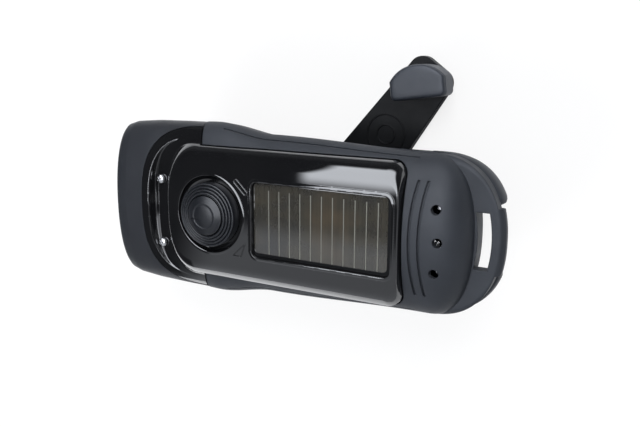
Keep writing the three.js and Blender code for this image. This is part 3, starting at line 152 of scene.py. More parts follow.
# Screws and the plain outlined marks beside the button
SCREW_R, SCREW_PLACES, DRIVE_HALF = 1.65, ((52.6, -9.8), (52.8, 14.2)), (0.95, 0.2)
SCREW_LEVELS = ((0.96, 0), (1, 0.12), (1, 0.45), (0.93, 0.72), (0.75, 0.95), (0.45, 1.08), (0, 1.1))
CAPSULE_ENDS, CAPSULE_R = ((16.8, -12.6), (13.0, -8.9)), 0.75
WEDGE_CORNERS = [(13.4, 8.9), (18.3, 13.5), (15.1, 13.7)]
MARK_WIDTH, MARK_RISE = 0.42, 0.28


# Sums and outlines
def lerp(a, b, t):
    return a + (b - a) * t


def smoothstep(x, a, b):
    t = np.clip((np.asarray(x, float) - a) / (b - a), 0, 1)
    return t * t * (3 - 2 * t)


def signed_power(value, exponent):
    return np.sign(value) * np.abs(value) ** exponent


def smooth_max(a, b, radius):
    h = np.clip(0.5 + 0.5 * (a - b) / radius, 0, 1)
    return b + (a - b) * h + radius * h * (1 - h)


def smooth_min(a, b, radius):
    return -smooth_max(-a, -b, radius)


def half_width(x):
    """Half width of the frame along its length."""
    rear = lerp(HIP_HALF, WAIST_HALF, smoothstep(x, HIP_X, WAIST_X))
    middle = lerp(rear, LOBE_HALF, smoothstep(x, WAIST_X, LOBE_X))
    return lerp(middle, HEAD_HALF, smoothstep(x, LOBE_X, HEAD_X))


def round_end(start_x, end_x, half, exponent, steps):
    """Quarter of a superellipse from (start_x, half) to just short of (end_x, 0)."""
    angle = np.minimum(np.arange(steps + 1), steps - 0.25) / steps * pi / 2
    x = start_x + (end_x - start_x) * np.sin(angle) ** (2 / exponent)
    return [(a, b) for a, b in zip(x, half * np.cos(angle) ** (2 / exponent))]


def mirrored(half):
    return list(half) + [(x, -y) for x, y in reversed(half)]


def rotated(x, y, angle, cx=0, cy=0):
    return (cx + x * cos(angle) - y * sin(angle),
            cy + x * sin(angle) + y * cos(angle))


def arc(cx, cy, r, angles):
    return [(cx + r * cos(a), cy + r * sin(a)) for a in angles]


def quarters(places, r, steps):
    """Quarter turns about (x, y), each from its own start in degrees."""
    return [p for cx, cy, start in places
            for p in arc(cx, cy, r, [radians(start + a) for a in np.linspace(0, 90, steps)])]


def rounded_rectangle(low_x, high_x, low_y, high_y, r, steps):
    return quarters(((high_x - r, high_y - r, 0), (low_x + r, high_y - r, 90),
                     (low_x + r, low_y + r, 180), (high_x - r, low_y + r, 270)), r, steps)


# Meshes
def new_object(name, verts, faces):
    mesh = bpy.data.meshes.new(name)
    points = [tuple(np.asarray(v, float) * MM) for v in verts]
    mesh.from_pydata(points, [], [tuple(int(i) for i in face) for face in faces])
    mesh.validate()
    obj = bpy.data.objects.new(name, mesh)
    bpy.context.scene.collection.objects.link(obj)
    return obj


def edited(obj, change):
    bm = bmesh.new()
    bm.from_mesh(obj.data)
    change(bm)
    bm.to_mesh(obj.data)
    bm.free()
    return obj


def faces_out(obj):
    return edited(obj, lambda bm: bmesh.ops.recalc_face_normals(bm, faces=bm.faces))


def loft(name, rings):
    """Skin through rings of equal length, capped at both ends."""
    count = len(rings[0])
    verts = [p for ring in rings for p in ring]
    faces = []
    for r in range(len(rings) - 1):
        for i in range(count):
            a, b = r * count + i, r * count + (i + 1) % count
            faces.append((a, b, b + count, a + count))
    faces.append(tuple(reversed(range(count))))
    faces.append(tuple((len(rings) - 1) * count + i for i in range(count)))
    return faces_out(new_object(name, verts, faces))


def prism(name, outline, low, high):
    return loft(name, [[(x, y, z) for x, y in outline] for z in (low, high)])


def turned(name, profile, centre, steps=96):
    """Solid of revolution from a closed profile of (radius, height), which may touch the axis."""
    verts, faces, rows = [], [], []
    for r, z in profile:
        if r < 1e-6:
            rows.append([len(verts)] * steps)
            verts.append((centre[0], centre[1], z))
            continue
        rows.append(list(range(len(verts), len(verts) + steps)))
        for i in range(steps):
            a = 2 * pi * i / steps
            verts.append((centre[0] + r * cos(a), centre[1] + r * sin(a), z))
    closed = profile[0][0] > 1e-6
    pairs = list(zip(rows, rows[1:])) + ([(rows[-1], rows[0])] if closed else [])
    for low, high in pairs:
        for i in range(steps):
            j = (i + 1) % steps
            face = []
            for v in (low[i], low[j], high[j], high[i]):
                if v not in face:
                    face.append(v)
            if len(face) > 2:
                faces.append(face)
    return faces_out(new_object(name, verts, faces))


def rod(name, r, low, high, centre=(0, 0), steps=96):
    return turned(name, [(0, low), (r, low), (r, high), (0, high)], centre, steps)


def box_object(name, low, high):
    (a, b, c), (d, e, f) = low, high
    return prism(name, [(a, b), (d, b), (d, e), (a, e)], c, f)


def boolean(obj, tools, operation="DIFFERENCE"):
    """Carves the tools out of the object (or joins them to it) and removes them."""
    for tool in tools:
        change = obj.modifiers.new("cut", "BOOLEAN")
        change.operation = operation
        change.solver = "EXACT"
        change.object = tool
        apply_modifiers(obj)
        bpy.data.objects.remove(tool)
    return edited(obj, melt_slivers)


def melt_slivers(bm):
    """Melts away the faces without area, and the loose ones, that a cut can leave."""
    bmesh.ops.remove_doubles(bm, verts=bm.verts, dist=SLIVER * MM)
    bmesh.ops.dissolve_degenerate(bm, edges=bm.edges, dist=SLIVER * MM)
    loose = [face for face in bm.faces if all(len(edge.link_faces) == 1 for edge in face.edges)]
    bmesh.ops.delete(bm, geom=loose, context="FACES")


def apply_modifiers(obj):
    graph = bpy.context.evaluated_depsgraph_get()
    graph.update()
    mesh = bpy.data.meshes.new_from_object(obj.evaluated_get(graph))
    old = obj.data
    obj.modifiers.clear()
    obj.data = mesh
    mesh.name = obj.name
    bpy.data.meshes.remove(old)


def smooth(obj, angle=32):
    obj.data.polygons.foreach_set("use_smooth", [True] * len(obj.data.polygons))
    obj.data.set_sharp_from_angle(angle=radians(angle))
    weighted = obj.modifiers.new("weighted", "WEIGHTED_NORMAL")
    weighted.keep_sharp = True
    weighted.weight = 100
    apply_modifiers(obj)
    return obj


def finish_piece(obj, body, look, slot, *replaces):
    obj.data.materials.clear()
    obj.data.materials.append(look)
    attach(obj, body)
    if replaces:
        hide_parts(*replaces)


# Casing forms
def arch_ring(x, half, top, bottom, steps=56):
    ring = [(x, half - SKIRT, bottom)]
    for i in range(steps + 1):
        a = pi * i / steps
        ring.append((x, half * cos(a), SIDE_Z + (top - SIDE_Z) * abs(sin(a))))
    ring.append((x, SKIRT - half, bottom))
    return ring


def arch_rings(inset, bottom, front_x):
    body = [arch_ring(x, float(half_width(x)) - inset, CROWN_Z - inset, bottom)
            for x in np.linspace(front_x, HIP_X, 60)]
    tail = [arch_ring(x, lerp(SKIRT, HIP_HALF - inset, s), lerp(SIDE_Z, CROWN_Z - inset, s), bottom)
            for x, s in round_end(HIP_X, CROWN_END_X + inset, 1, CROWN_POWER, 28)[1:]]
    return body + tail


def tail_outline(inset, front_x=HIP_X + OVERRUN):
    back = round_end(HIP_X, TAIL_X + inset, HIP_HALF - inset, TAIL_POWER, 40)
    return mirrored([(front_x, HIP_HALF - inset)] + back)


def head_shares(share):
    return [np.interp(share, HEAD_STATIONS, table) for table in (HEAD_WIDTHS, HEAD_HEIGHTS)]


def head_section(x, inset):
    width_share, rise = head_shares((x - HEAD_REAR_X) / (HEAD_FRONT_X - HEAD_REAR_X))
    half = HEAD_HALF * width_share - inset
    top = (HEAD_TOP_Z - SIDE_Z) * rise - inset
    bottom = (SIDE_Z - UNDER_Z) * rise - inset
    ring = []
    for i in range(HEAD_STEPS):
        a = 2 * pi * i / HEAD_STEPS
        up = sin(a) > 0
        e = 2 / (HEAD_POWER if up else KEEL_POWER)
        ring.append((x, half * float(signed_power(cos(a), e)),
                     SIDE_Z + (top if up else bottom) * float(signed_power(sin(a), e))))
    return ring


def head_loft(name, from_x, to_x, inset):
    marks = {HEAD_REAR_X + s * (HEAD_FRONT_X - HEAD_REAR_X) for s in HEAD_STATIONS}
    stations = sorted(set(np.linspace(from_x, to_x, 40)) | {x for x in marks if from_x < x < to_x})
    return loft(name, [head_section(x, inset) for x in stations])


def head_height(x, y):
    """Height of the lamp head's upper surface."""
    width_share, rise = head_shares((x - HEAD_REAR_X) / (HEAD_FRONT_X - HEAD_REAR_X))
    across = np.clip(np.abs(y) / (HEAD_HALF * width_share), 0, 0.9999)
    return SIDE_Z + (HEAD_TOP_Z - SIDE_Z) * rise * (1 - across ** HEAD_POWER) ** (1 / HEAD_POWER)


def rail_zone(name, margin):
    """The room that the frame's two rails take up beside the cover."""
    front, out = RAIL_FRONT_X + margin, LOBE_HALF + OVERRUN
    half = [(HIP_X, COVER_HALF - margin), (RAIL_INNER_X + margin, COVER_HALF - margin),
            (front, LOBE_HALF), (front, out), (HIP_X, out)]
    return [prism(name, [(x, side * y) for x, y in half], UNDER_Z, DECK_Z + OVERRUN)
            for side in (1, -1)]


def tail_corner(tail_x, half, angles):
    return [(tail_x + COVER_CORNER * (1 - sin(a)), half - COVER_CORNER * (1 - cos(a)))
            for a in angles]


def cover_outline(margin):
    """Plan outline of the whole cover: wide in the lamp head, narrow between the rails."""
    front = round_end(HEAD_REAR_X - margin, COVER_FRONT_X + margin, COVER_HEAD_HALF + margin,
                      COVER_POWER, 60)[::-1]
    rail = RAIL_FRONT_X + GAP - margin
    slant = (RAIL_FRONT_X - RAIL_INNER_X) / (LOBE_HALF - COVER_HALF)
    half = [p for p in front if p[0] > rail - (LOBE_HALF - p[1]) * slant]
    join_y = half[-1][1]
    narrow = COVER_HALF - GAP + margin
    half += [(rail - (LOBE_HALF - join_y) * slant, join_y), (RAIL_INNER_X + GAP - margin, narrow)]
    half += tail_corner(COVER_TAIL_X - margin, narrow, [i / 14 * pi / 2 for i in range(15)])
    return mirrored(half)


# Cover surface
def corner_distance(dx, dy):
    """Distance from a corner whose two sides lie dx and dy away, below zero inside it."""
    return np.hypot(np.maximum(dx, 0), np.maximum(dy, 0)) + np.minimum(np.maximum(dx, dy), 0)


def plateau_size(s):
    """Half width, front end and tail end of the plateau at the given share of its bevel."""
    return (COVER_HALF - GAP - s * SIDE_INSET, PLATEAU_FRONT_X - s * FRONT_INSET,
            COVER_TAIL_X + s * TAIL_INSET)


def plateau_outside(x, y, s):
    """Below zero inside the plateau's outline at the given share of its bevel."""
    half, front_x, tail_x = plateau_size(s)
    u = np.maximum((x - RAIL_FRONT_X) / (front_x - RAIL_FRONT_X), 0)
    v = np.abs(y) / half
    front = (u ** PLATEAU_POWER + v ** PLATEAU_POWER) ** (1 / PLATEAU_POWER) - 1
    corner = corner_distance(tail_x + COVER_CORNER - x, np.abs(y) - (half - COVER_CORNER))
    return np.maximum(front * half, corner - COVER_CORNER)


def plateau_height(x, y):
    """Height of the plateau and its bevel, whose share is found by halving."""
    low, high = np.zeros_like(x), np.full_like(x, 1.0)
    inside_top = plateau_outside(x, y, high) <= 0
    beyond = plateau_outside(x, y, low)
    for _ in range(24):
        middle = (low + high) / 2
        inside = plateau_outside(x, y, middle) <= 0
        low, high = np.where(inside, middle, low), np.where(inside, high, middle)
    s = np.where(inside_top, 1.0, low)
    height = lerp(FOOT_Z, DECK_Z, 1 - (1 - s) ** 2)
    return np.where(beyond > 0, FOOT_Z - beyond * FOOT_FALL, height)


def window_distance(x, y):
    middle = (PANEL_HEAD + PANEL_TAIL) / 2
    dx = np.abs(x - middle) - ((PANEL_HEAD - PANEL_TAIL) / 2 - PANEL_CORNER)
    dy = np.abs(y) - (PANEL_HALF - PANEL_CORNER)
    return corner_distance(dx, dy) - PANEL_CORNER


def well_distance(x, y):
    return np.hypot(x - BUTTON_X, y) - WELL_R


def bead(distance, width, rise):
    """Raised edge round an opening: full height beside it, rounded off at its width."""
    t = np.clip(distance / width, 0, 1)
    start = np.clip(distance / BEAD_START + BEAD_FOOT, 0, 1)
    return rise * np.sqrt(np.clip(1 - t ** BEAD_POWER, 0, 1)) * start


def valley_out(x, y):
    """Distance outside the foot of the valley's front wall, below zero in the valley."""
    u = np.maximum((x - RAIL_INNER_X) / (VALLEY_FRONT_X - RAIL_INNER_X), 0)
    v = np.abs(y) / VALLEY_HALF
    return ((u ** COVER_POWER + v ** COVER_POWER) ** (1 / COVER_POWER) - 1) * VALLEY_HALF


def cover_height(x, y):
    x, y = np.asarray(x, float), np.asarray(y, float)
    head = head_height(np.maximum(x, HEAD_REAR_X), y)
    valley = VALLEY_Z + smooth_max(valley_out(x, y), 0, VALLEY_FOOT_BLEND) * VALLEY_SLOPE
    front = smooth_min(head, valley, VALLEY_TOP_BLEND)
    front = np.where(x > RAIL_INNER_X - OVERRUN, front, FAR_BELOW)
    z = np.minimum(smooth_max(plateau_height(x, y), front, PLATEAU_BLEND), DECK_Z)
    z = z + bead(window_distance(x, y), LIP, LIP_RISE)
    return z + bead(well_distance(x, y), WELL_LIP, WELL_LIP_RISE)


def inside_polygon(points, polygon):
    x, y = points[:, 0], points[:, 1]
    inside = np.zeros(len(points), bool)
    poly = np.asarray(polygon)
    for (x0, y0), (x1, y1) in zip(poly, np.roll(poly, -1, axis=0)):
        crosses = (y0 > y) != (y1 > y)
        with np.errstate(divide="ignore", invalid="ignore"):
            at = x0 + (y - y0) * (x1 - x0) / (y1 - y0)
        inside ^= crosses & (x < at)
    return inside


def rounded_window(margin):
    half, r = PANEL_HALF + margin, max(PANEL_CORNER + margin, 0.2)
    return rounded_rectangle(PANEL_TAIL - margin, PANEL_HEAD + margin, -half, half, r, 11)


def dense(points, step):
    """Same closed line with no span longer than the step."""
    out = []
    for (x0, y0), (x1, y1) in zip(points, points[1:] + points[:1]):
        n = max(1, int(hypot(x1 - x0, y1 - y0) / step))
        out += [(lerp(x0, x1, i / n), lerp(y0, y1, i / n)) for i in range(n)]
    return out


def circle(cx, cy, r, steps):
    return arc(cx, cy, r, [2 * pi * i / steps for i in range(steps)])


def plateau_ring(s, step):
    """Plan line of the plateau's bevel at the given share of its height."""
    half, front_x, tail_x = plateau_size(s)
    line = []
    for x in front_x - (front_x - RAIL_FRONT_X) * np.linspace(0, 1, 60) ** 2.2:
        u = max((x - RAIL_FRONT_X) / (front_x - RAIL_FRONT_X), 0)
        line.append((x, half * max(1 - u ** PLATEAU_POWER, 0) ** (1 / PLATEAU_POWER)))
    line.append((tail_x + COVER_CORNER, half))
    line += tail_corner(tail_x, half, np.linspace(0, pi / 2, 14)[1:])
    return dense(mirrored(line), step)


def valley_ring(out, step):
    """Plan line round the valley's front wall, outwards from its foot."""
    grow, power = 1 + out / VALLEY_HALF, 2 / COVER_POWER
    half = [(RAIL_INNER_X + (VALLEY_FRONT_X - RAIL_INNER_X) * grow * sin(a) ** power,
             VALLEY_HALF * grow * cos(a) ** power)
            for a in np.linspace(0.02, pi / 2 - 0.01, 70)[::-1]]
    return dense(mirrored(half), step)


def cover_points():
    """Plan points of the cover: its edges, rings where it curves, and a grid elsewhere."""
    loops = [dense(cover_outline(0), 0.7), dense(rounded_window(0), 0.7),
             circle(BUTTON_X, 0, WELL_R, 180)]
    grid = np.array([(x + GRID_SHIFT[0] * sin(7 * y), y + GRID_SHIFT[1] * sin(5 * x))
                     for x in np.arange(COVER_TAIL_X, COVER_FRONT_X, GRID_STEP)
                     for y in np.arange(-COVER_HEAD_HALF, COVER_HEAD_HALF, GRID_STEP)])
    x, y = grid.T
    flat = np.abs(cover_height(x, y) - DECK_Z) < 1e-6
    sparse = np.arange(len(grid)) % 9 == 0
    keep = inside_polygon(grid, cover_outline(-0.25)) & (~flat | sparse)
    keep &= (window_distance(x, y) > 1.35) & (well_distance(x, y) > 1.15)
    keep &= (plateau_outside(x, y, -0.06) >= 0) | (plateau_outside(x, y, 1.07) < 0)
    out = valley_out(x, y)
    keep &= (out < -0.7) | (out > 1.75) | (x < RAIL_INNER_X)

    rings = [dense(rounded_window(d), 0.8) for d in WINDOW_RINGS]
    rings += [circle(BUTTON_X, 0, WELL_R + d, 180) for d in WELL_RINGS]
    rings += [plateau_ring(s, 0.55) for s in BEVEL_RINGS]
    rings += [valley_ring(d, 0.5) for d in VALLEY_RINGS]
    ring_points = np.array([p for ring in rings for p in ring])
    ring_points = ring_points[inside_polygon(ring_points, cover_outline(-0.3))]
    x, y = ring_points.T
    clear = (window_distance(x, y) > 0.05) & (well_distance(x, y) > 0.05)
    return loops, np.vstack([ring_points[clear], grid[keep]])


def cover_plan():
    """Triangles of the cover in plan, whose edges follow its outline, window and well."""
    loops, inner = cover_points()
    points, edges = [], []
    for loop in loops:
        first = len(points)
        points += loop
        edges += [(first + i, first + (i + 1) % len(loop)) for i in range(len(loop))]
    points += [tuple(p) for p in inner]
    made = delaunay_2d_cdt([Vector(p) for p in points], edges, [], 0, 1e-5)
    plan = np.array([(v.x, v.y) for v in made[0]])
    tris = np.array([f for f in made[2] if len(f) == 3])
    centres = plan[tris].mean(axis=1)
    x, y = centres.T
    keep = inside_polygon(centres, loops[0]) & (window_distance(x, y) > 0)
    return plan, tris[keep & (np.hypot(x - BUTTON_X, y) > WELL_R * CHORD_SHARE)]


def cover_shell():
    plan, tris = cover_plan()
    x, y = plan.T
    z = cover_height(x, y)
    count = len(plan)

    def slope(dx, dy):
        return (cover_height(x + dx, y + dy) - cover_height(x - dx, y - dy)) / (2 * SLOPE_STEP)

    top_normals = np.stack([-slope(SLOPE_STEP, 0), -slope(0, SLOPE_STEP), np.ones(count)], 1)
    top_normals /= np.linalg.norm(top_normals, axis=1)[:, None]
    edge_use = {}
    for tri in tris:
        for a, b in ((tri[0], tri[1]), (tri[1], tri[2]), (tri[2], tri[0])):
            edge_use.setdefault((min(a, b), max(a, b)), []).append((a, b))
    border = [uses[0] for uses in edge_use.values() if len(uses) == 1]
    rim = {v for edge in border for v in edge}
    low = np.where([i in rim for i in range(count)],
                   np.minimum(COVER_SEAT_Z + GAP, z - 1), z - COVER_THICK)
    low = np.where(np.abs(window_distance(x, y)) < ON_EDGE, PANEL_Z - COVER_THICK, low)
    low = np.where(np.abs(well_distance(x, y)) < ON_EDGE, BOOT_SEAT_Z - WELL_WALL_DEPTH, low)
    verts = [(*p, h) for heights in (z, low) for p, h in zip(plan, heights)]
    faces = [tuple(t) for t in tris] + [tuple(count + i for i in reversed(t)) for t in tris]
    faces += [(b, a, count + a, count + b) for a, b in border]
    obj = new_object("cover_shell", verts, faces)
    mesh = obj.data
    mesh.polygons.foreach_set("use_smooth", [True] * len(mesh.polygons))
    mesh.set_sharp_from_angle(angle=radians(40))
    normals = np.array([n.vector for n in mesh.corner_normals])
    loop_verts = np.array([corner.vertex_index for corner in mesh.loops])
    for face in mesh.polygons[:len(tris)]:
        for i in face.loop_indices:
            normals[i] = top_normals[loop_verts[i]]
    mesh.normals_split_custom_set([tuple(n) for n in normals])
    return obj


# Materials
SHADER = "Principled BSDF"


def put(tree, socket, value):
    """Sets a socket, or links another node's output to it."""
    if isinstance(value, bpy.types.NodeSocket):
        tree.links.new(value, socket)
    else:
        socket.default_value = value


def node(tree, kind, **values):
    """New node: names in lower case are its settings, the others its sockets."""
    made = tree.nodes.new("ShaderNode" + kind)
    for name, value in values.items():
        if name.islower():
            setattr(made, name, value)
    for name, value in values.items():
        if not name.islower():
            put(tree, made.inputs[name.replace("_", " ")], value)
    return made


def sums(tree, operation, *values):
    made = node(tree, "Math", operation=operation)
    for socket, value in zip(made.inputs, values):
        put(tree, socket, value)
    return made.outputs["Value"]


def material(name, colour, roughness, metallic=0.0, tone=None, gloss=None, relief=None,
             edge=0, **inputs):
    """Principled material. Tone and gloss are a noise with the stops of its ramp, and relief
    is a noise with its height in millimetres and its strength."""
    mat = bpy.data.materials.new(name)
    mat.use_nodes = True
    tree = mat.node_tree
    shader = tree.nodes[SHADER]
    inputs.update(Base_Color=(*colour, 1), Roughness=roughness, Metallic=metallic)
    if gloss:
        inputs["Roughness"] = ramp(tree, noise(tree, *gloss[0]), gloss[1])
    if tone:
        inputs["Base_Color"] = ramp(tree, noise(tree, *tone[0]), tone[1])
    if relief:
        pattern, depth, strength = relief
        bump = node(tree, "Bump", Height=noise(tree, *pattern), Distance=depth * MM,
                    Strength=strength)
        if edge:
            soft = node(tree, "Bevel", samples=4, Radius=edge * MM)
            put(tree, bump.inputs["Normal"], soft.outputs["Normal"])
        inputs["Normal"] = bump.outputs["Normal"]
    for key, value in inputs.items():
        put(tree, shader.inputs[key.replace("_", " ")], value)
    return mat


def noise(tree, scale, detail=4.0, roughness=0.6, stretch=None):
    source = node(tree, "TexCoord").outputs["Object"]
    if stretch:
        source = node(tree, "Mapping", Vector=source, Scale=stretch).outputs["Vector"]
    return node(tree, "TexNoise", Vector=source, Scale=scale, Detail=detail,
                Roughness=roughness).outputs["Fac"]


def ramp(tree, source, stops):
    made = node(tree, "ValToRGB", Fac=source)
    elements = made.color_ramp.elements
    while len(elements) < len(stops):
        elements.new(0.5)
    for element, (place, value) in zip(elements, stops):
        element.position = place
        element.color = (*value, 1) if isinstance(value, tuple) else (value, value, value, 1)
    return made.outputs["Color"]


def moulded(name, colour, roughness, grain, grain_scale=2600, edge=0.3, specular=0.3):
    """Matt moulded plastic: fine spark-eroded grain, slow tone changes and rubbed edges."""
    darker, lighter = [tuple(c * share for c in colour) for share in (0.86, 1.12)]
    return material(name, colour, roughness, Specular_IOR_Level=specular, edge=edge,
                    tone=((60, 5), [(0.3, darker), (0.7, lighter)]),
                    gloss=((140, 6), [(0.3, roughness - 0.06), (0.75, roughness + 0.07)]),
                    relief=((grain_scale, 3, 0.7), grain, 0.35))


def metal(name, colour, roughness, streaks=(1, 1, 12)):
    return material(name, colour, roughness, 1.0, edge=0.15,
                    gloss=((400, 6, 0.7, streaks),
                           [(0.3, roughness * 0.7), (0.75, roughness * 1.5)]),
                    relief=((900, 3, 0.6, streaks), 0.02, 0.2))


def solar_cell():
    """Dark silicon under clear resin: fine saw lines across, slow brown and olive patches."""
    mat = material("solar_cell_face", (0.05, 0.045, 0.03), 0.45, Coat_Weight=0.9,
                   Coat_Roughness=0.03, Coat_IOR=1.9, Specular_IOR_Level=0.1,
                   relief=((60, 2, 0.4), 0.04, 0.15))
    tree = mat.node_tree
    patches = ramp(tree, noise(tree, 38, 3, 0.5, (1, 1.6, 1)), [
        (0.3, (0.016, 0.017, 0.018)), (0.5, (0.034, 0.031, 0.024)), (0.68, (0.058, 0.045, 0.030))])
    lines = ramp(tree, noise(tree, 900, 2, 0.5, (1, 0.02, 0.02)), [(0.3, 0.72), (0.7, 1)])
    mix = node(tree, "Mix", data_type="RGBA", blend_type="MULTIPLY", Factor=0.8,
               A=patches, B=lines)
    put(tree, tree.nodes[SHADER].inputs["Base Color"], mix.outputs["Result"])
    return mat


MATTE = moulded("matte_charcoal_plastic", (0.019, 0.0214, 0.0262), 0.52, 0.05, edge=0.5,
                specular=0.28)
BEZEL = moulded("matte_head_plastic", (0.013, 0.0143, 0.0175), 0.46, 0.05, edge=0.4, specular=0.27)
ARM_BLACK = moulded("satin_black_plastic", (0.0045, 0.0047, 0.0052), 0.34, 0.03, specular=0.07)
KNOB_GREY = moulded("knob_plastic", (0.024, 0.0275, 0.035), 0.4, 0.03)
RUBBER = moulded("button_rubber", (0.008, 0.009, 0.0115), 0.32, 0.03, 1800, edge=0.12,
                 specular=0.36)
GLOSS = material("gloss_black_plastic", (0.006, 0.0062, 0.007), 0.05,
                 Coat_Weight=1.0, Coat_Roughness=0.015,
                 tone=((30, 3), [(0.3, (0.0055, 0.0057, 0.0065)),
                                 (0.75, (0.0085, 0.0087, 0.0095))]),
                 gloss=((220, 8, 0.7), [(0.35, 0.015), (0.8, 0.05)]),
                 relief=((90, 2, 0.4), 0.02, 0.12))
CHROME = metal("chrome_screw", (0.62, 0.62, 0.63), 0.22)
STEEL = metal("plain_steel", (0.55, 0.55, 0.57), 0.32)
MIRROR = metal("reflector_mirror", (0.9, 0.9, 0.92), 0.06)
COPPER = metal("copper_winding", (0.72, 0.33, 0.16), 0.3, (1, 1, 30))
CLEAR = material("clear_plastic", (0.95, 0.98, 1.0), 0.04, Transmission_Weight=1.0, IOR=1.49,
                 gloss=((300, 6), [(0.35, 0.02), (0.8, 0.09)]))
CELL = solar_cell()
SILVER = moulded("contact_silver", (0.17, 0.17, 0.15), 0.5, 0.01)
NYLON = moulded("gear_nylon", (0.62, 0.60, 0.52), 0.45, 0.03)
BOARD = moulded("circuit_board", (0.02, 0.07, 0.035), 0.4, 0.03, 900)

NODE_LOOKS = (
    (CLEAR, "lens led_1 led_2 led_3 charge_indicator"), (RUBBER, "lens_gasket"),
    (MIRROR, "reflector"), (BOARD, "led_board main_board"), (COPPER, "stator_coil"),
    (ARM_BLACK, "power_switch battery_tray"),
    (NYLON, "switch_plunger idler_gear crank_gear hub_bush"))
for solid_name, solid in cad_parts.items():
    look = next((mat for mat, names in NODE_LOOKS if solid_name in names.split()), STEEL)
    if not solid.material_slots:
        solid.data.materials.append(look)
    for slot in solid.material_slots:
        slot.material = look


# Casing pieces
def bowed_bar(name, x, half_length, width, bow, low, high):
    n = 24
    side = [(lerp(-half_length, half_length, i / n), 1 - (2 * i / n - 1) ** 2)
            for i in range(n + 1)]
    front = [(x + width / 2 + bow * t, y) for y, t in side]
    back = [(x - width / 2 + bow * t, y) for y, t in reversed(side)]
    return prism(name, front + back, low, high)


def tail_ledge():
    """Ledge with a rounded upper edge, set back in a groove over the lower shell's ears."""
    low = LEDGE_Z - LEDGE_THICK
    levels = [(0.9, low), (0.35, low + 0.25), (0, low + 0.9)]
    levels += [(LEDGE_ROUND * t, LEDGE_Z - LEDGE_FALL * (1 - t) ** 2) for t in np.linspace(0, 1, 9)]
    ledge = loft("ledge", [[(x, y, z) for x, y in tail_outline(i)] for i, z in levels])
    back = round_end(HIP_X, TAIL_X + LEDGE_BACK, HIP_HALF - 0.2, 2.25, 40)
    kept = prism("kept", mirrored([(HIP_X + OVERRUN, HIP_HALF)] + back), SPLIT_Z, CROWN_Z)
    middle = box_object("middle", (TAIL_X - OVERRUN, -NOTCH_HALF, SPLIT_Z),
                        (HIP_X, NOTCH_HALF, CROWN_Z))
    return boolean(ledge, [boolean(kept, [middle], "UNION")], "INTERSECT")


def rail_grooves():
    """Fine groove along the outer flank of each rail."""
    made = []
    for side in (1, -1):
        rings = []
        for x in np.linspace(*RAIL_GROOVE_ENDS, 90):
            half, rise = float(half_width(x)), CROWN_Z - SIDE_Z
            level, up = cos(RAIL_GROOVE_ANGLE), sin(RAIL_GROOVE_ANGLE)
            normal = np.array([level / half, up / rise])
            normal /= np.linalg.norm(normal)
            along = np.array([-normal[1], normal[0]])
            ring = []
            for across, out in RAIL_GROOVE_SECTION:
                place = np.array([half * level, SIDE_Z + rise * up]) + along * across + normal * out
                ring.append((x, side * place[0], place[1]))
            rings.append(ring)
        made.append(loft("rail_groove", rings))
    return made


def bumper():
    arch = loft("frame_shell", arch_rings(0, SPLIT_Z, RAIL_FRONT_X))
    boolean(arch, [tail_ledge()], "UNION")
    low, out = SPLIT_Z - OVERRUN, LOBE_HALF + OVERRUN
    inner = loft("inner", arch_rings(WALL, low, RAIL_FRONT_X + OVERRUN))
    foot = prism("foot", cover_outline(GAP), COVER_SEAT_Z, DECK_Z + OVERRUN)
    front = prism("front", mirrored([
        (COVER_FRONT_X, out), (RAIL_FRONT_X, out), (RAIL_FRONT_X, LOBE_HALF),
        (RAIL_INNER_X, COVER_HALF)]), low, DECK_Z + OVERRUN)
    slot = bowed_bar("slot", SLOT_X, SLOT_HALF, SLOT_WIDTH, SLOT_BOW, SPLIT_Z, CROWN_Z)
    holes = [rod("hole", HOLE_R, HOLE_LOW_Z, HOLE_HIGH_Z, place, 32) for place in TAIL_HOLES]
    grooves = []
    for x in GROOVES_X:
        bar = bowed_bar("groove", x - GROOVE_BOW, GROOVE_HALF, GROOVE_WIDTH, GROOVE_BOW,
                        SPLIT_Z, CROWN_Z + OVERRUN)
        grooves.append(boolean(bar, [loft("keep", arch_rings(GROOVE_DEPTH, low, RAIL_FRONT_X))]))
    boolean(arch, [inner, foot, front, slot] + holes + grooves + rail_grooves())
    flange_low = COVER_SEAT_Z - FLANGE_THICK
    flange = prism("flange", cover_outline(WALL), flange_low, CROWN_Z)
    boolean(flange, [prism("hole", cover_outline(-FLANGE_WIDTH), flange_low - 1, DECK_Z),
                     prism("opening", cover_outline(GAP), COVER_SEAT_Z, DECK_Z),
                     prism("front", mirrored([(COVER_FRONT_X + 9, 40), (RAIL_INNER_X, 40)]),
                           flange_low - 1, DECK_Z)])
    boolean(flange, [loft("keep", arch_rings(0.6, SPLIT_Z, RAIL_FRONT_X))], "INTERSECT")
    boolean(arch, [flange], "UNION")
    return smooth(arch)


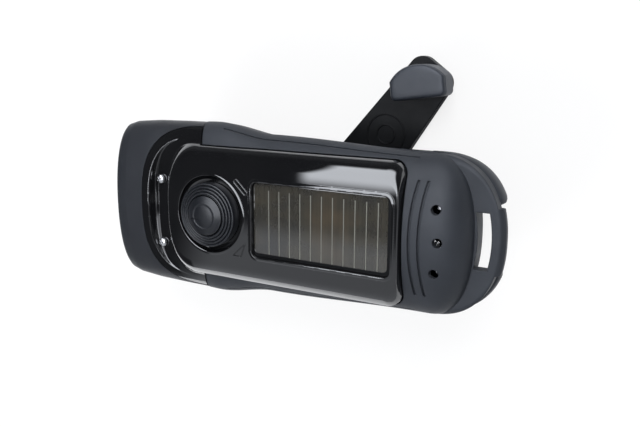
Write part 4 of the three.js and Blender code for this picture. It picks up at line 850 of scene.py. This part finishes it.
def bezel():
    rim_x = HEAD_FRONT_X - RIM_ROUND
    rings = [head_section(x, 0) for x in np.linspace(HEAD_REAR_X, rim_x, 44)]
    rings += [head_section(rim_x + d, edge) for d, edge in RIM_STEPS]
    shell = loft("head_shell", rings)
    front_x = HEAD_FRONT_X - RIM
    inner = head_loft("inner", HEAD_REAR_X - 0.5, front_x, BEZEL_WALL)
    mouth = [(y, z) for _, y, z in head_section(HEAD_FRONT_X, RIM_INSET)]
    opening = loft("opening", [[(front_x - 1, y, z) for y, z in mouth],
                               [(front_x, y, z) for y, z in mouth],
                               [(HEAD_FRONT_X + 0.3, y * MOUTH_FLARE, lerp(SIDE_Z, z, MOUTH_FLARE))
                                for y, z in mouth]])
    foot = prism("foot", cover_outline(GAP), COVER_SEAT_Z, DECK_Z + OVERRUN)
    keel = box_object("keel", (HEAD_REAR_X - OVERRUN, -LOBE_HALF, UNDER_Z - OVERRUN),
                      (HULL_FRONT_X + GAP, LOBE_HALF, SPLIT_Z))
    boolean(shell, [inner, opening, foot, keel] + rail_zone("rail", GAP))
    return smooth(shell)


def hull(name, inset, top_z, front_x):
    """Boat-shaped lower hull, a superellipse across, drawn in towards its underside."""
    depth = SIDE_Z - UNDER_Z
    turns = np.linspace(24, 90, 26)[:-1]
    rings = []
    for share in [(SIDE_Z - top_z) / depth] + [sin(radians(a)) for a in turns]:
        draw = (1 - max(share, 0) ** HULL_POWER) ** (1 / HULL_POWER)
        end_x = HIP_X + (HULL_END_X - HIP_X) * (1 + draw) / 2 + inset
        step = inset + HULL_STEP * draw
        side = [(x, float(half_width(x)) * draw - step)
                for x in np.linspace(front_x, HIP_X, 50)[:-1]]
        back = round_end(HIP_X, end_x, HIP_HALF * draw - step, TAIL_POWER, 30)
        z = SIDE_Z - share * (depth - inset)
        rings.append([(x, y, z) for x, y in mirrored(side + back)])
    return loft(name, rings)


def housing(name, inset, low, high):
    """Gear housing with ends round the crank's axis, rounded corners and a rounded edge."""
    def ring(radius, half, z):
        r = HOUSING_CORNER
        y = half - r
        x = sqrt((radius - r) ** 2 - y ** 2)
        reach = atan2(y, x)
        turns = np.linspace(reach, pi / 2, 9)
        end = [(x + r * cos(a), -y - r * sin(a)) for a in turns[::-1]]
        end += arc(0, 0, radius, np.linspace(-reach, reach, 40)[1:-1]) + arc(x, y, r, turns)
        return [(x, y, z) for x, y in end] + [(-x, -y, z) for x, y in end]
    radius, half = HOUSING_R - inset, HOUSING_HALF - inset
    rings = []
    for a in np.linspace(0, pi / 2, 7):
        edge = HOUSING_EDGE * (1 - sin(a))
        rings.append(ring(radius - edge, half - HOUSING_DRAFT - edge,
                          low + HOUSING_EDGE * (1 - cos(a))))
    return loft(name, rings + [ring(radius, half, high)])


def ears(name):
    """Two ears round the tail under the ledge, rounded beside the gap between them."""
    def ring(inset, z):
        rounded = []
        for x, y in tail_outline(inset):
            t = min(max((NOTCH_HALF + EAR_CORNER - abs(y)) / EAR_CORNER, 0), 1)
            back = EAR_CORNER * (1 - sqrt(1 - t * t)) if x < HIP_X - 8 else 0
            rounded.append((x + back, y, z))
        return rounded
    levels = EAR_LEVELS + [(1.4, LEDGE_Z - LEDGE_THICK - GAP)]
    shape = loft(name, [ring(inset, z) for inset, z in levels])
    bottom = EAR_BOTTOM_Z - OVERRUN
    return boolean(shape, [
        prism("hollow", tail_outline(EAR_THICK, HIP_X + 2 * OVERRUN), bottom, SIDE_Z),
        box_object("between", (TAIL_X - OVERRUN, -NOTCH_HALF, bottom),
                   (CROWN_END_X, NOTCH_HALF, SIDE_Z)),
        loft("frame", arch_rings(-GAP, HULL_TOP_Z, RAIL_FRONT_X))])


def lower_shell():
    """Hull, gear housing and the two ears in one hollow moulding, with the crank's well."""
    shape = hull("lower_hull", 0, HULL_TOP_Z, HULL_FRONT_X)
    boolean(shape, [housing("housing", 0, HOUSING_Z, HOUSING_TOP_Z), ears("ears")], "UNION")
    boolean(shape, [hull("hollow", WALL, HULL_TOP_Z + OVERRUN, HULL_FRONT_X + OVERRUN),
                    housing("hollow", WALL, HOUSING_Z + WALL, SPLIT_Z)])
    roof_z, well_r = HUB_TOP_Z + GAP, HUB_R + 2 * GAP
    boolean(shape, [rod("boss", HUB_R + WALL + GAP, BOSS_Z, roof_z + WALL)], "UNION")
    well = [(0, 1), (HUB_R + WELL_FLARE, 1), (HUB_R + WELL_FLARE, HOUSING_Z),
            (HUB_R + 0.75, HOUSING_Z + 0.7), (well_r, HOUSING_Z + 1), (well_r, roof_z), (0, roof_z)]
    bush = rod("bush", BUSH_HOLE_R, 3, 12, steps=64)
    boolean(shape, [turned("well", well, (0, 0), 128), bush])
    return smooth(shape, 35)


def hub_disc():
    """Disc under the casing that carries the crank, with the channel in which the arm folds."""
    profile = [(0, 0), (HUB_R - 1.1, 0), (HUB_R - 0.5, 0.2), (HUB_R - 0.12, 0.65), (HUB_R, 1.2),
               (HUB_R, HUB_TOP_Z - 0.3), (HUB_R - 0.3, HUB_TOP_Z), (HUB_SHAFT_R, HUB_TOP_Z),
               (HUB_SHAFT_R, HUB_SHAFT_Z), (0, HUB_SHAFT_Z)]
    disc = turned("hub_disc", profile, (0, 0), 128)
    side, past, low = NECK_HALF + GAP, 30, -2
    cuts = [box_object("channel", (-past, a, low), (past, b, CHANNEL_Z))
            for a, b in ((-side, -LUG_HALF), (LUG_HALF, side))]
    cuts += [box_object("lug", (a, -LUG_HALF - 1, low), (b, LUG_HALF + 1, CHANNEL_Z))
             for a, b in ((-past, -LUG_HALF), (LUG_HALF, past))]
    boolean(disc, cuts)
    bore = rod("bore", BORE_R, -BORE_HALF, BORE_HALF, steps=24)
    for v in bore.data.vertices:
        x, y, z = v.co
        v.co = (x, z, ARM_T / 2 * MM - y)
    return smooth(onto_crank(boolean(disc, [bore])), 35)


# Button
def button_well():
    """Floor and rounded wall of the well in the cover."""
    wall, floor, foot = WELL_R - 0.03, BOOT_SEAT_Z, BOOT_SEAT_Z - 1.6
    profile = [(WELL_HOLE_R, foot), (wall, foot), (wall, floor + 1.2), (wall - 0.25, floor + 0.55),
               (wall - 0.75, floor + 0.15), (wall - 1.5, floor), (WELL_HOLE_R, floor)]
    return smooth(turned("button_well", profile, (BUTTON_X, 0), 160), 40)


def boot():
    """Rubber ring that rises to the dome in fine steps."""
    bottom = BOOT_SEAT_Z + GAP
    inner = DOME_R + GAP
    pitch = (BOOT_R - inner) / BOOT_STEPS
    profile = [(inner, bottom), (BOOT_R - 0.1, bottom), (BOOT_R, bottom + 0.3)]
    for i in range(BOOT_STEPS):
        outer = BOOT_R - i * pitch
        top = bottom + BOOT_WALL + i * BOOT_RISE / BOOT_STEPS
        profile += [(outer - d, top + h) for d, h in BOOT_EDGE]
        profile += [(outer - pitch * share, top + h) for share, h in BOOT_GROOVE]
    profile.append((inner, bottom + BOOT_WALL + 0.62 * BOOT_RISE))
    return smooth(turned("boot_rings", profile, (BUTTON_X, 0), 160), 50)


def dome_height(r):
    shoulder = DOME_HEIGHT * DOME_SHOULDER
    fall = (max(r - 0.4, 0) / (DOME_R - 0.4)) ** 2.3
    dip = 0.14 if r <= DOME_RING_R else (0.05 if r <= DOME_RING_R + 0.15 else 0)
    return BOOT_SEAT_Z + DOME_HEIGHT - (DOME_HEIGHT - shoulder) * fall - dip


def dome():
    """Rubber dome with a low ring on its crown and a short groove towards the lamp head."""
    r = DOME_R + 1.3
    profile = [(0, DOME_FOOT_Z), (r, DOME_FOOT_Z), (r, BOOT_SEAT_Z), (DOME_R, BOOT_SEAT_Z)]
    radii = list(np.linspace(DOME_R, 4.7, 9)) + [4.4, 4.3, DOME_RING_R, 3.6, 2.6, 1.4]
    profile += [(r, dome_height(r)) for r in radii + [0]]
    cap = turned("dome_cap", profile, (BUTTON_X, 0), 128)
    rings = []
    for x in np.linspace(BUTTON_X + 1.6, BUTTON_X + 5.6, 12):
        z = dome_height(hypot(x - BUTTON_X, 1.3)) - 0.22
        rings.append([(x, 1.05, z), (x, 1.55, z), (x, 1.75, z + 1.5), (x, 0.85, z + 1.5)])
    return smooth(boolean(cap, [loft("mark", rings)]), 50)


# Marks
def raised_line(name, line):
    """Low rounded ridge along a closed line on the cover's top."""
    line = np.array(line)
    along = np.roll(line, -1, axis=0) - np.roll(line, 1, axis=0)
    across = np.stack([-along[:, 1], along[:, 0]], 1) / np.linalg.norm(along, axis=1)[:, None]
    low, side, top = -0.2, 0.6 * MARK_RISE, 0.95 * MARK_RISE
    section = [(-1, low), (-0.8, side), (-0.4, top), (0.4, top), (0.8, side), (1, low)]
    verts = [(*(point + normal * offset * MARK_WIDTH / 2), DECK_Z + height)
             for point, normal in zip(line, across) for offset, height in section]
    faces, size, count = [], len(section), len(line)
    for i in range(count):
        for j in range(size):
            near, far = i * size, ((i + 1) % count) * size
            faces.append((near + j, near + (j + 1) % size, far + (j + 1) % size, far + j))
    return smooth(faces_out(new_object(name, verts, faces)), 60)


def capsule_mark():
    (x0, y0), (x1, y1) = CAPSULE_ENDS
    turn = atan2(y1 - y0, x1 - x0)
    line = []
    for x, y, start in ((x1, y1, turn - pi / 2), (x0, y0, turn + pi / 2)):
        line += arc(x, y, CAPSULE_R, [start + a for a in np.linspace(0, pi, 12)])
    return raised_line("capsule_mark", line)


def wedge_mark():
    return raised_line("wedge_mark", dense(WEDGE_CORNERS, 0.35))


# Panel
def panel():
    gap, z = 0.25, PANEL_Z
    levels = [(gap, z - 1), (gap, z - 0.25), (gap + 0.12, z - 0.06), (gap + 0.35, z)]
    rings = [[(x, y, h) for x, y in rounded_window(-i)] for i, h in levels]
    return smooth(loft("cell_plate", rings))


def panel_border_painted_shade():
    """Black edge inside the window, narrow towards the button and above; on the side away from the
    button and below it is widened into painted shade, a black sheet laid where the recess is in
    shadow.
    """
    low, high = PANEL_Z - 0.15, PANEL_Z + 0.12
    # The wider tail side and lower side of this black edge are painted shade
    inner = rounded_rectangle(PANEL_TAIL + BORDER_WIDE_PAINTED_SHADE, PANEL_HEAD - BORDER_NARROW,
                              BORDER_NARROW - PANEL_HALF, PANEL_HALF - BORDER_WIDE_PAINTED_SHADE, 1.5, 8)
    border = prism("panel_border_painted_shade", rounded_window(-0.12), low, high)
    return smooth(boolean(border, [prism("inner", inner, low - 1, high + 1)]))


def contact_lines():
    verts, faces = [], []
    z = PANEL_Z + LINE_RISE
    for i in range(LINE_COUNT):
        x = LINE_START - i * LINE_PITCH
        a, b = x - LINE_HALF_WIDTH, x + LINE_HALF_WIDTH
        first = len(verts)
        low, high = LINE_ENDS_Y
        for h in (z - 0.1, z):
            verts += [(a, low, h), (b, low, h), (b, high, h), (a, high, h)]
        faces += [[first + j for j in (4, 5, 6, 7)], [first + j for j in (0, 3, 2, 1)]]
        faces += [(first + j, first + k, first + k + 4, first + j + 4)
                  for j, k in ((0, 1), (1, 2), (2, 3), (3, 0))]
    return new_object("contact_lines", verts, faces)


# Crank
def onto_crank(obj):
    """Turns a shape that was made along X to the crank's angle."""
    for v in obj.data.vertices:
        x, y = rotated(v.co.x / MM, v.co.y / MM, ARM_ANGLE)
        v.co.x, v.co.y = x * MM, y * MM
    return obj


def arm():
    neck, root_r, r = 2 * NECK_HALF, HUB_R + 2 * GAP, ARM_CORNER
    shoulder, neck_a = asin(ARM_ROOT_WIDTH / 2 / root_r), asin(neck / 2 / root_r)
    half = [(-1.2, neck / 2), (root_r * cos(neck_a), neck / 2)]
    half += arc(0, 0, root_r, np.linspace(neck_a, shoulder, 12))
    cx, cy = ARM_END_R - r, ARM_TIP_WIDTH / 2 - r
    half += [(cx + r * sin(a), cy + r * cos(a)) for a in np.linspace(0, pi / 2, 14)]
    plate = prism("arm_plate", mirrored(half), 0, ARM_T)
    boolean(plate, [box_object("lug", (-LUG_HALF, -LUG_HALF - GAP, -OVERRUN),
                               (LUG_HALF + 1, LUG_HALF + GAP, ARM_T + OVERRUN))])
    edge = plate.modifiers.new("edge", "BEVEL")
    edge.width = ARM_EDGE * MM
    edge.segments = 4
    edge.limit_method = "ANGLE"
    edge.angle_limit = radians(50)
    apply_modifiers(plate)
    rings = []
    w, h = EMBLEM_HALF_WIDTH, EMBLEM_RISE
    for radius in EMBLEM_RADII:
        profile = [(radius - w, ARM_T - 0.2), (radius + w, ARM_T - 0.2),
                   (radius + w * 0.7, ARM_T + h * 0.7), (radius, ARM_T + h),
                   (radius - w * 0.7, ARM_T + h * 0.7)]
        rings.append(turned("emblem", profile, (EMBLEM_X, 0), 96))
    return smooth(onto_crank(boolean(plate, rings, "UNION")), 40)


def knob_outline(inset):
    """Flat on one side, with a bowed front that narrows to the other."""
    half, flat, back = KNOB_HALF - inset, KNOB_FLAT - inset, KNOB_BACK + inset
    corner = max(KNOB_CORNER - inset * 0.4, 0.4)
    points = quarters(((half - corner, flat - corner, 0), (corner - half, flat - corner, 90)),
                      corner, 9)
    left = []
    for a in np.linspace(0, 1, 13):
        b = 1 - a
        left.append((b ** 2 * -half + 2 * a * b * -half * KNOB_BULGE,
                     b ** 2 * KNOB_SIDE + 2 * a * b * back + a * a * back))
    return points + left + [(-x, y) for x, y in reversed(left[:-1])]


def knob():
    foot = ARM_T + GAP
    top = foot + KNOB_HEIGHT
    levels = [(inset, foot + h) for inset, h in KNOB_FOOT]
    levels += [(inset, top - h) for inset, h in KNOB_TOP]
    cx, cy = rotated(CRANK_R, 0, ARM_ANGLE)
    rings = [[(*rotated(x, y, KNOB_ANGLE, cx, cy), z) for x, y in knob_outline(inset)]
             for inset, z in levels]
    return smooth(loft("knob_grip", rings), 45)


# Screws
def cover_screw(name, place):
    z, r = VALLEY_Z + GAP, SCREW_R
    head = turned(name, [(0, z - 2), (0.8, z - 2), (0.8, z)]
                  + [(r * share, z + h) for share, h in SCREW_LEVELS], place, 48)
    (a, b), bars = DRIVE_HALF, []
    for turn in (0.5, 0.5 + pi / 2):
        points = [rotated(x, y, turn, *place) for x, y in ((-a, -b), (a, -b), (a, b), (-a, b))]
        bars.append(prism("slot", points, z + 0.45, z + 2))
    return smooth(boolean(head, bars), 30)


PIECES = (
    (cover_shell, "casing", GLOSS, "glossy_cover", "top_cover"),
    (bumper, "casing", MATTE, "matte_shell", "bumper_frame"),
    (bezel, "casing", BEZEL, "matte_shell", "head_bezel"),
    (lower_shell, "casing", MATTE, "matte_shell", "bottom_shell"),
    (hub_disc, "hub", ARM_BLACK, "arm_plastic", "crank_hub"),
    (button_well, "casing", GLOSS, "glossy_cover"),
    (capsule_mark, "casing", GLOSS, "glossy_cover"),
    (wedge_mark, "casing", GLOSS, "glossy_cover"),
    (boot, "casing", RUBBER, "button_rubber", "button_boot"),
    (dome, "button", RUBBER, "button_rubber", "power_button"),
    (panel, "casing", CELL, "solar_cell", "solar_panel"),
    # The panel's black edge carries painted shade on its tail side and lower side
    (panel_border_painted_shade, "casing", ARM_BLACK, "matte_shell"),
    (contact_lines, "casing", SILVER, "solar_cell"),
    (arm, "arm", ARM_BLACK, "arm_plastic", "crank_arm"),
    (knob, "knob", KNOB_GREY, "knob_plastic", "crank_knob"),
)
for build, *about in PIECES:
    finish_piece(build(), *about)
for number, place in enumerate(SCREW_PLACES, 1):
    finish_piece(cover_screw(f"screw_head_{number}", place), "casing", CHROME, "screw_chrome",
                 f"cover_screw_{number}")


# Stage, light, camera
def stage_floor():
    """Pale floor that looks nearly white to the camera and still takes the shadow."""
    r = FLOOR_HALF
    floor = new_object("floor", [(-r, -r, 0), (r, -r, 0), (r, r, 0), (-r, r, 0)], [(0, 1, 2, 3)])
    mat = material("pale_floor", (0.86, 0.86, 0.86), 0.8)
    tree = mat.node_tree
    glow = node(tree, "Emission", Color=(1, 1, 1, 1))
    path = node(tree, "LightPath")
    seen = sums(tree, "MULTIPLY", path.outputs["Is Camera Ray"], FLOOR_GLOW)
    mixer = node(tree, "MixShader", Fac=seen)
    put(tree, mixer.inputs[1], tree.nodes[SHADER].outputs["BSDF"])
    put(tree, mixer.inputs[2], glow.outputs["Emission"])
    put(tree, tree.nodes["Material Output"].inputs["Surface"], mixer.outputs["Shader"])
    floor.data.materials.append(mat)


def world_light():
    """Even light for matt surfaces; reflections see a soft box, a grey wall and a dim horizon."""
    world = bpy.data.worlds.new("studio")
    bpy.context.scene.world = world
    world.use_nodes = True
    tree = world.node_tree

    def product(first, *others):
        for other in others:
            first = sums(tree, "MULTIPLY", first, other)
        return first

    def edge(source, start, end):
        return node(tree, "MapRange", interpolation_type="SMOOTHSTEP", Value=source,
                    From_Min=start, From_Max=end).outputs["Result"]

    coords = node(tree, "TexCoord").outputs["Generated"]
    x, y, z = node(tree, "SeparateXYZ", Vector=coords).outputs
    squares = [product(side, side) for side in (sums(tree, "MAXIMUM", z, 0.01), y)]
    upright = sums(tree, "SQRT", sums(tree, "ADD", *squares))
    along = sums(tree, "DIVIDE", x, upright)
    across = sums(tree, "DIVIDE", y, upright)
    slanted = sums(tree, "SUBTRACT", along, product(across, BOX_SLANT))
    box = product(edge(slanted, *BOX_HEAD_EDGE), edge(along, *BOX_TAIL_EDGE),
                  edge(across, *BOX_LOW_EDGE), edge(across, *BOX_HIGH_EDGE))
    wall = product(edge(across, *WALL_SIDE_EDGE), edge(along, *WALL_HEAD_EDGE))
    glow = sums(tree, "ADD", product(box, SOFT_BOX), product(wall, GREY_WALL))
    glow = sums(tree, "MAXIMUM", glow, product(edge(z, *HORIZON_EDGE), HORIZON))
    tint = node(tree, "VectorMath", operation="SCALE", Scale=sums(tree, "ADD", glow, DARK))
    tint.inputs[0].default_value = GLOSSY_TINT

    path = node(tree, "LightPath").outputs
    mix = node(tree, "Mix", data_type="RGBA", A=(0.62, 0.64, 0.68, 1), B=tint.outputs["Vector"],
               Factor=path["Is Glossy Ray"])
    white = node(tree, "Mix", data_type="RGBA", A=mix.outputs["Result"], B=(1, 1, 1, 1),
                 Factor=path["Is Camera Ray"])
    put(tree, tree.nodes["Background"].inputs["Color"], white.outputs["Result"])


def area_light(name, place, size, power):
    lamp = bpy.data.lights.new(name, "AREA")
    lamp.shape = "RECTANGLE"
    lamp.size = lamp.size_y = size
    lamp.energy = power
    obj = bpy.data.objects.new(name, lamp)
    bpy.context.scene.collection.objects.link(obj)
    obj.visible_glossy = False
    obj.location = Vector(place)
    aim = Vector(LAMP_TARGET) - Vector(place)
    obj.rotation_euler = aim.to_track_quat("-Z", "Y").to_euler()


def camera():
    data = bpy.data.cameras.new("photo_camera")
    data.lens = LENS
    data.sensor_width = 36
    obj = bpy.data.objects.new("photo_camera", data)
    bpy.context.scene.collection.objects.link(obj)
    right, back = Vector(CAMERA_RIGHT).normalized(), Vector(CAMERA_BACK).normalized()
    up = back.cross(right).normalized()
    right = up.cross(back).normalized()
    turn = Matrix((right, up, back)).transposed().to_4x4()
    obj.matrix_world = Matrix.Translation(Vector(CAMERA_PLACE) * MM) @ turn
    bpy.context.scene.camera = obj


camera()
stage_floor()
world_light()
area_light("key", (-0.3, -0.75, 0.75), 0.6, 9)
area_light("fill", (0.5, 0.55, 0.5), 0.5, 6)
bpy.context.scene.view_settings.view_transform = "Standard"
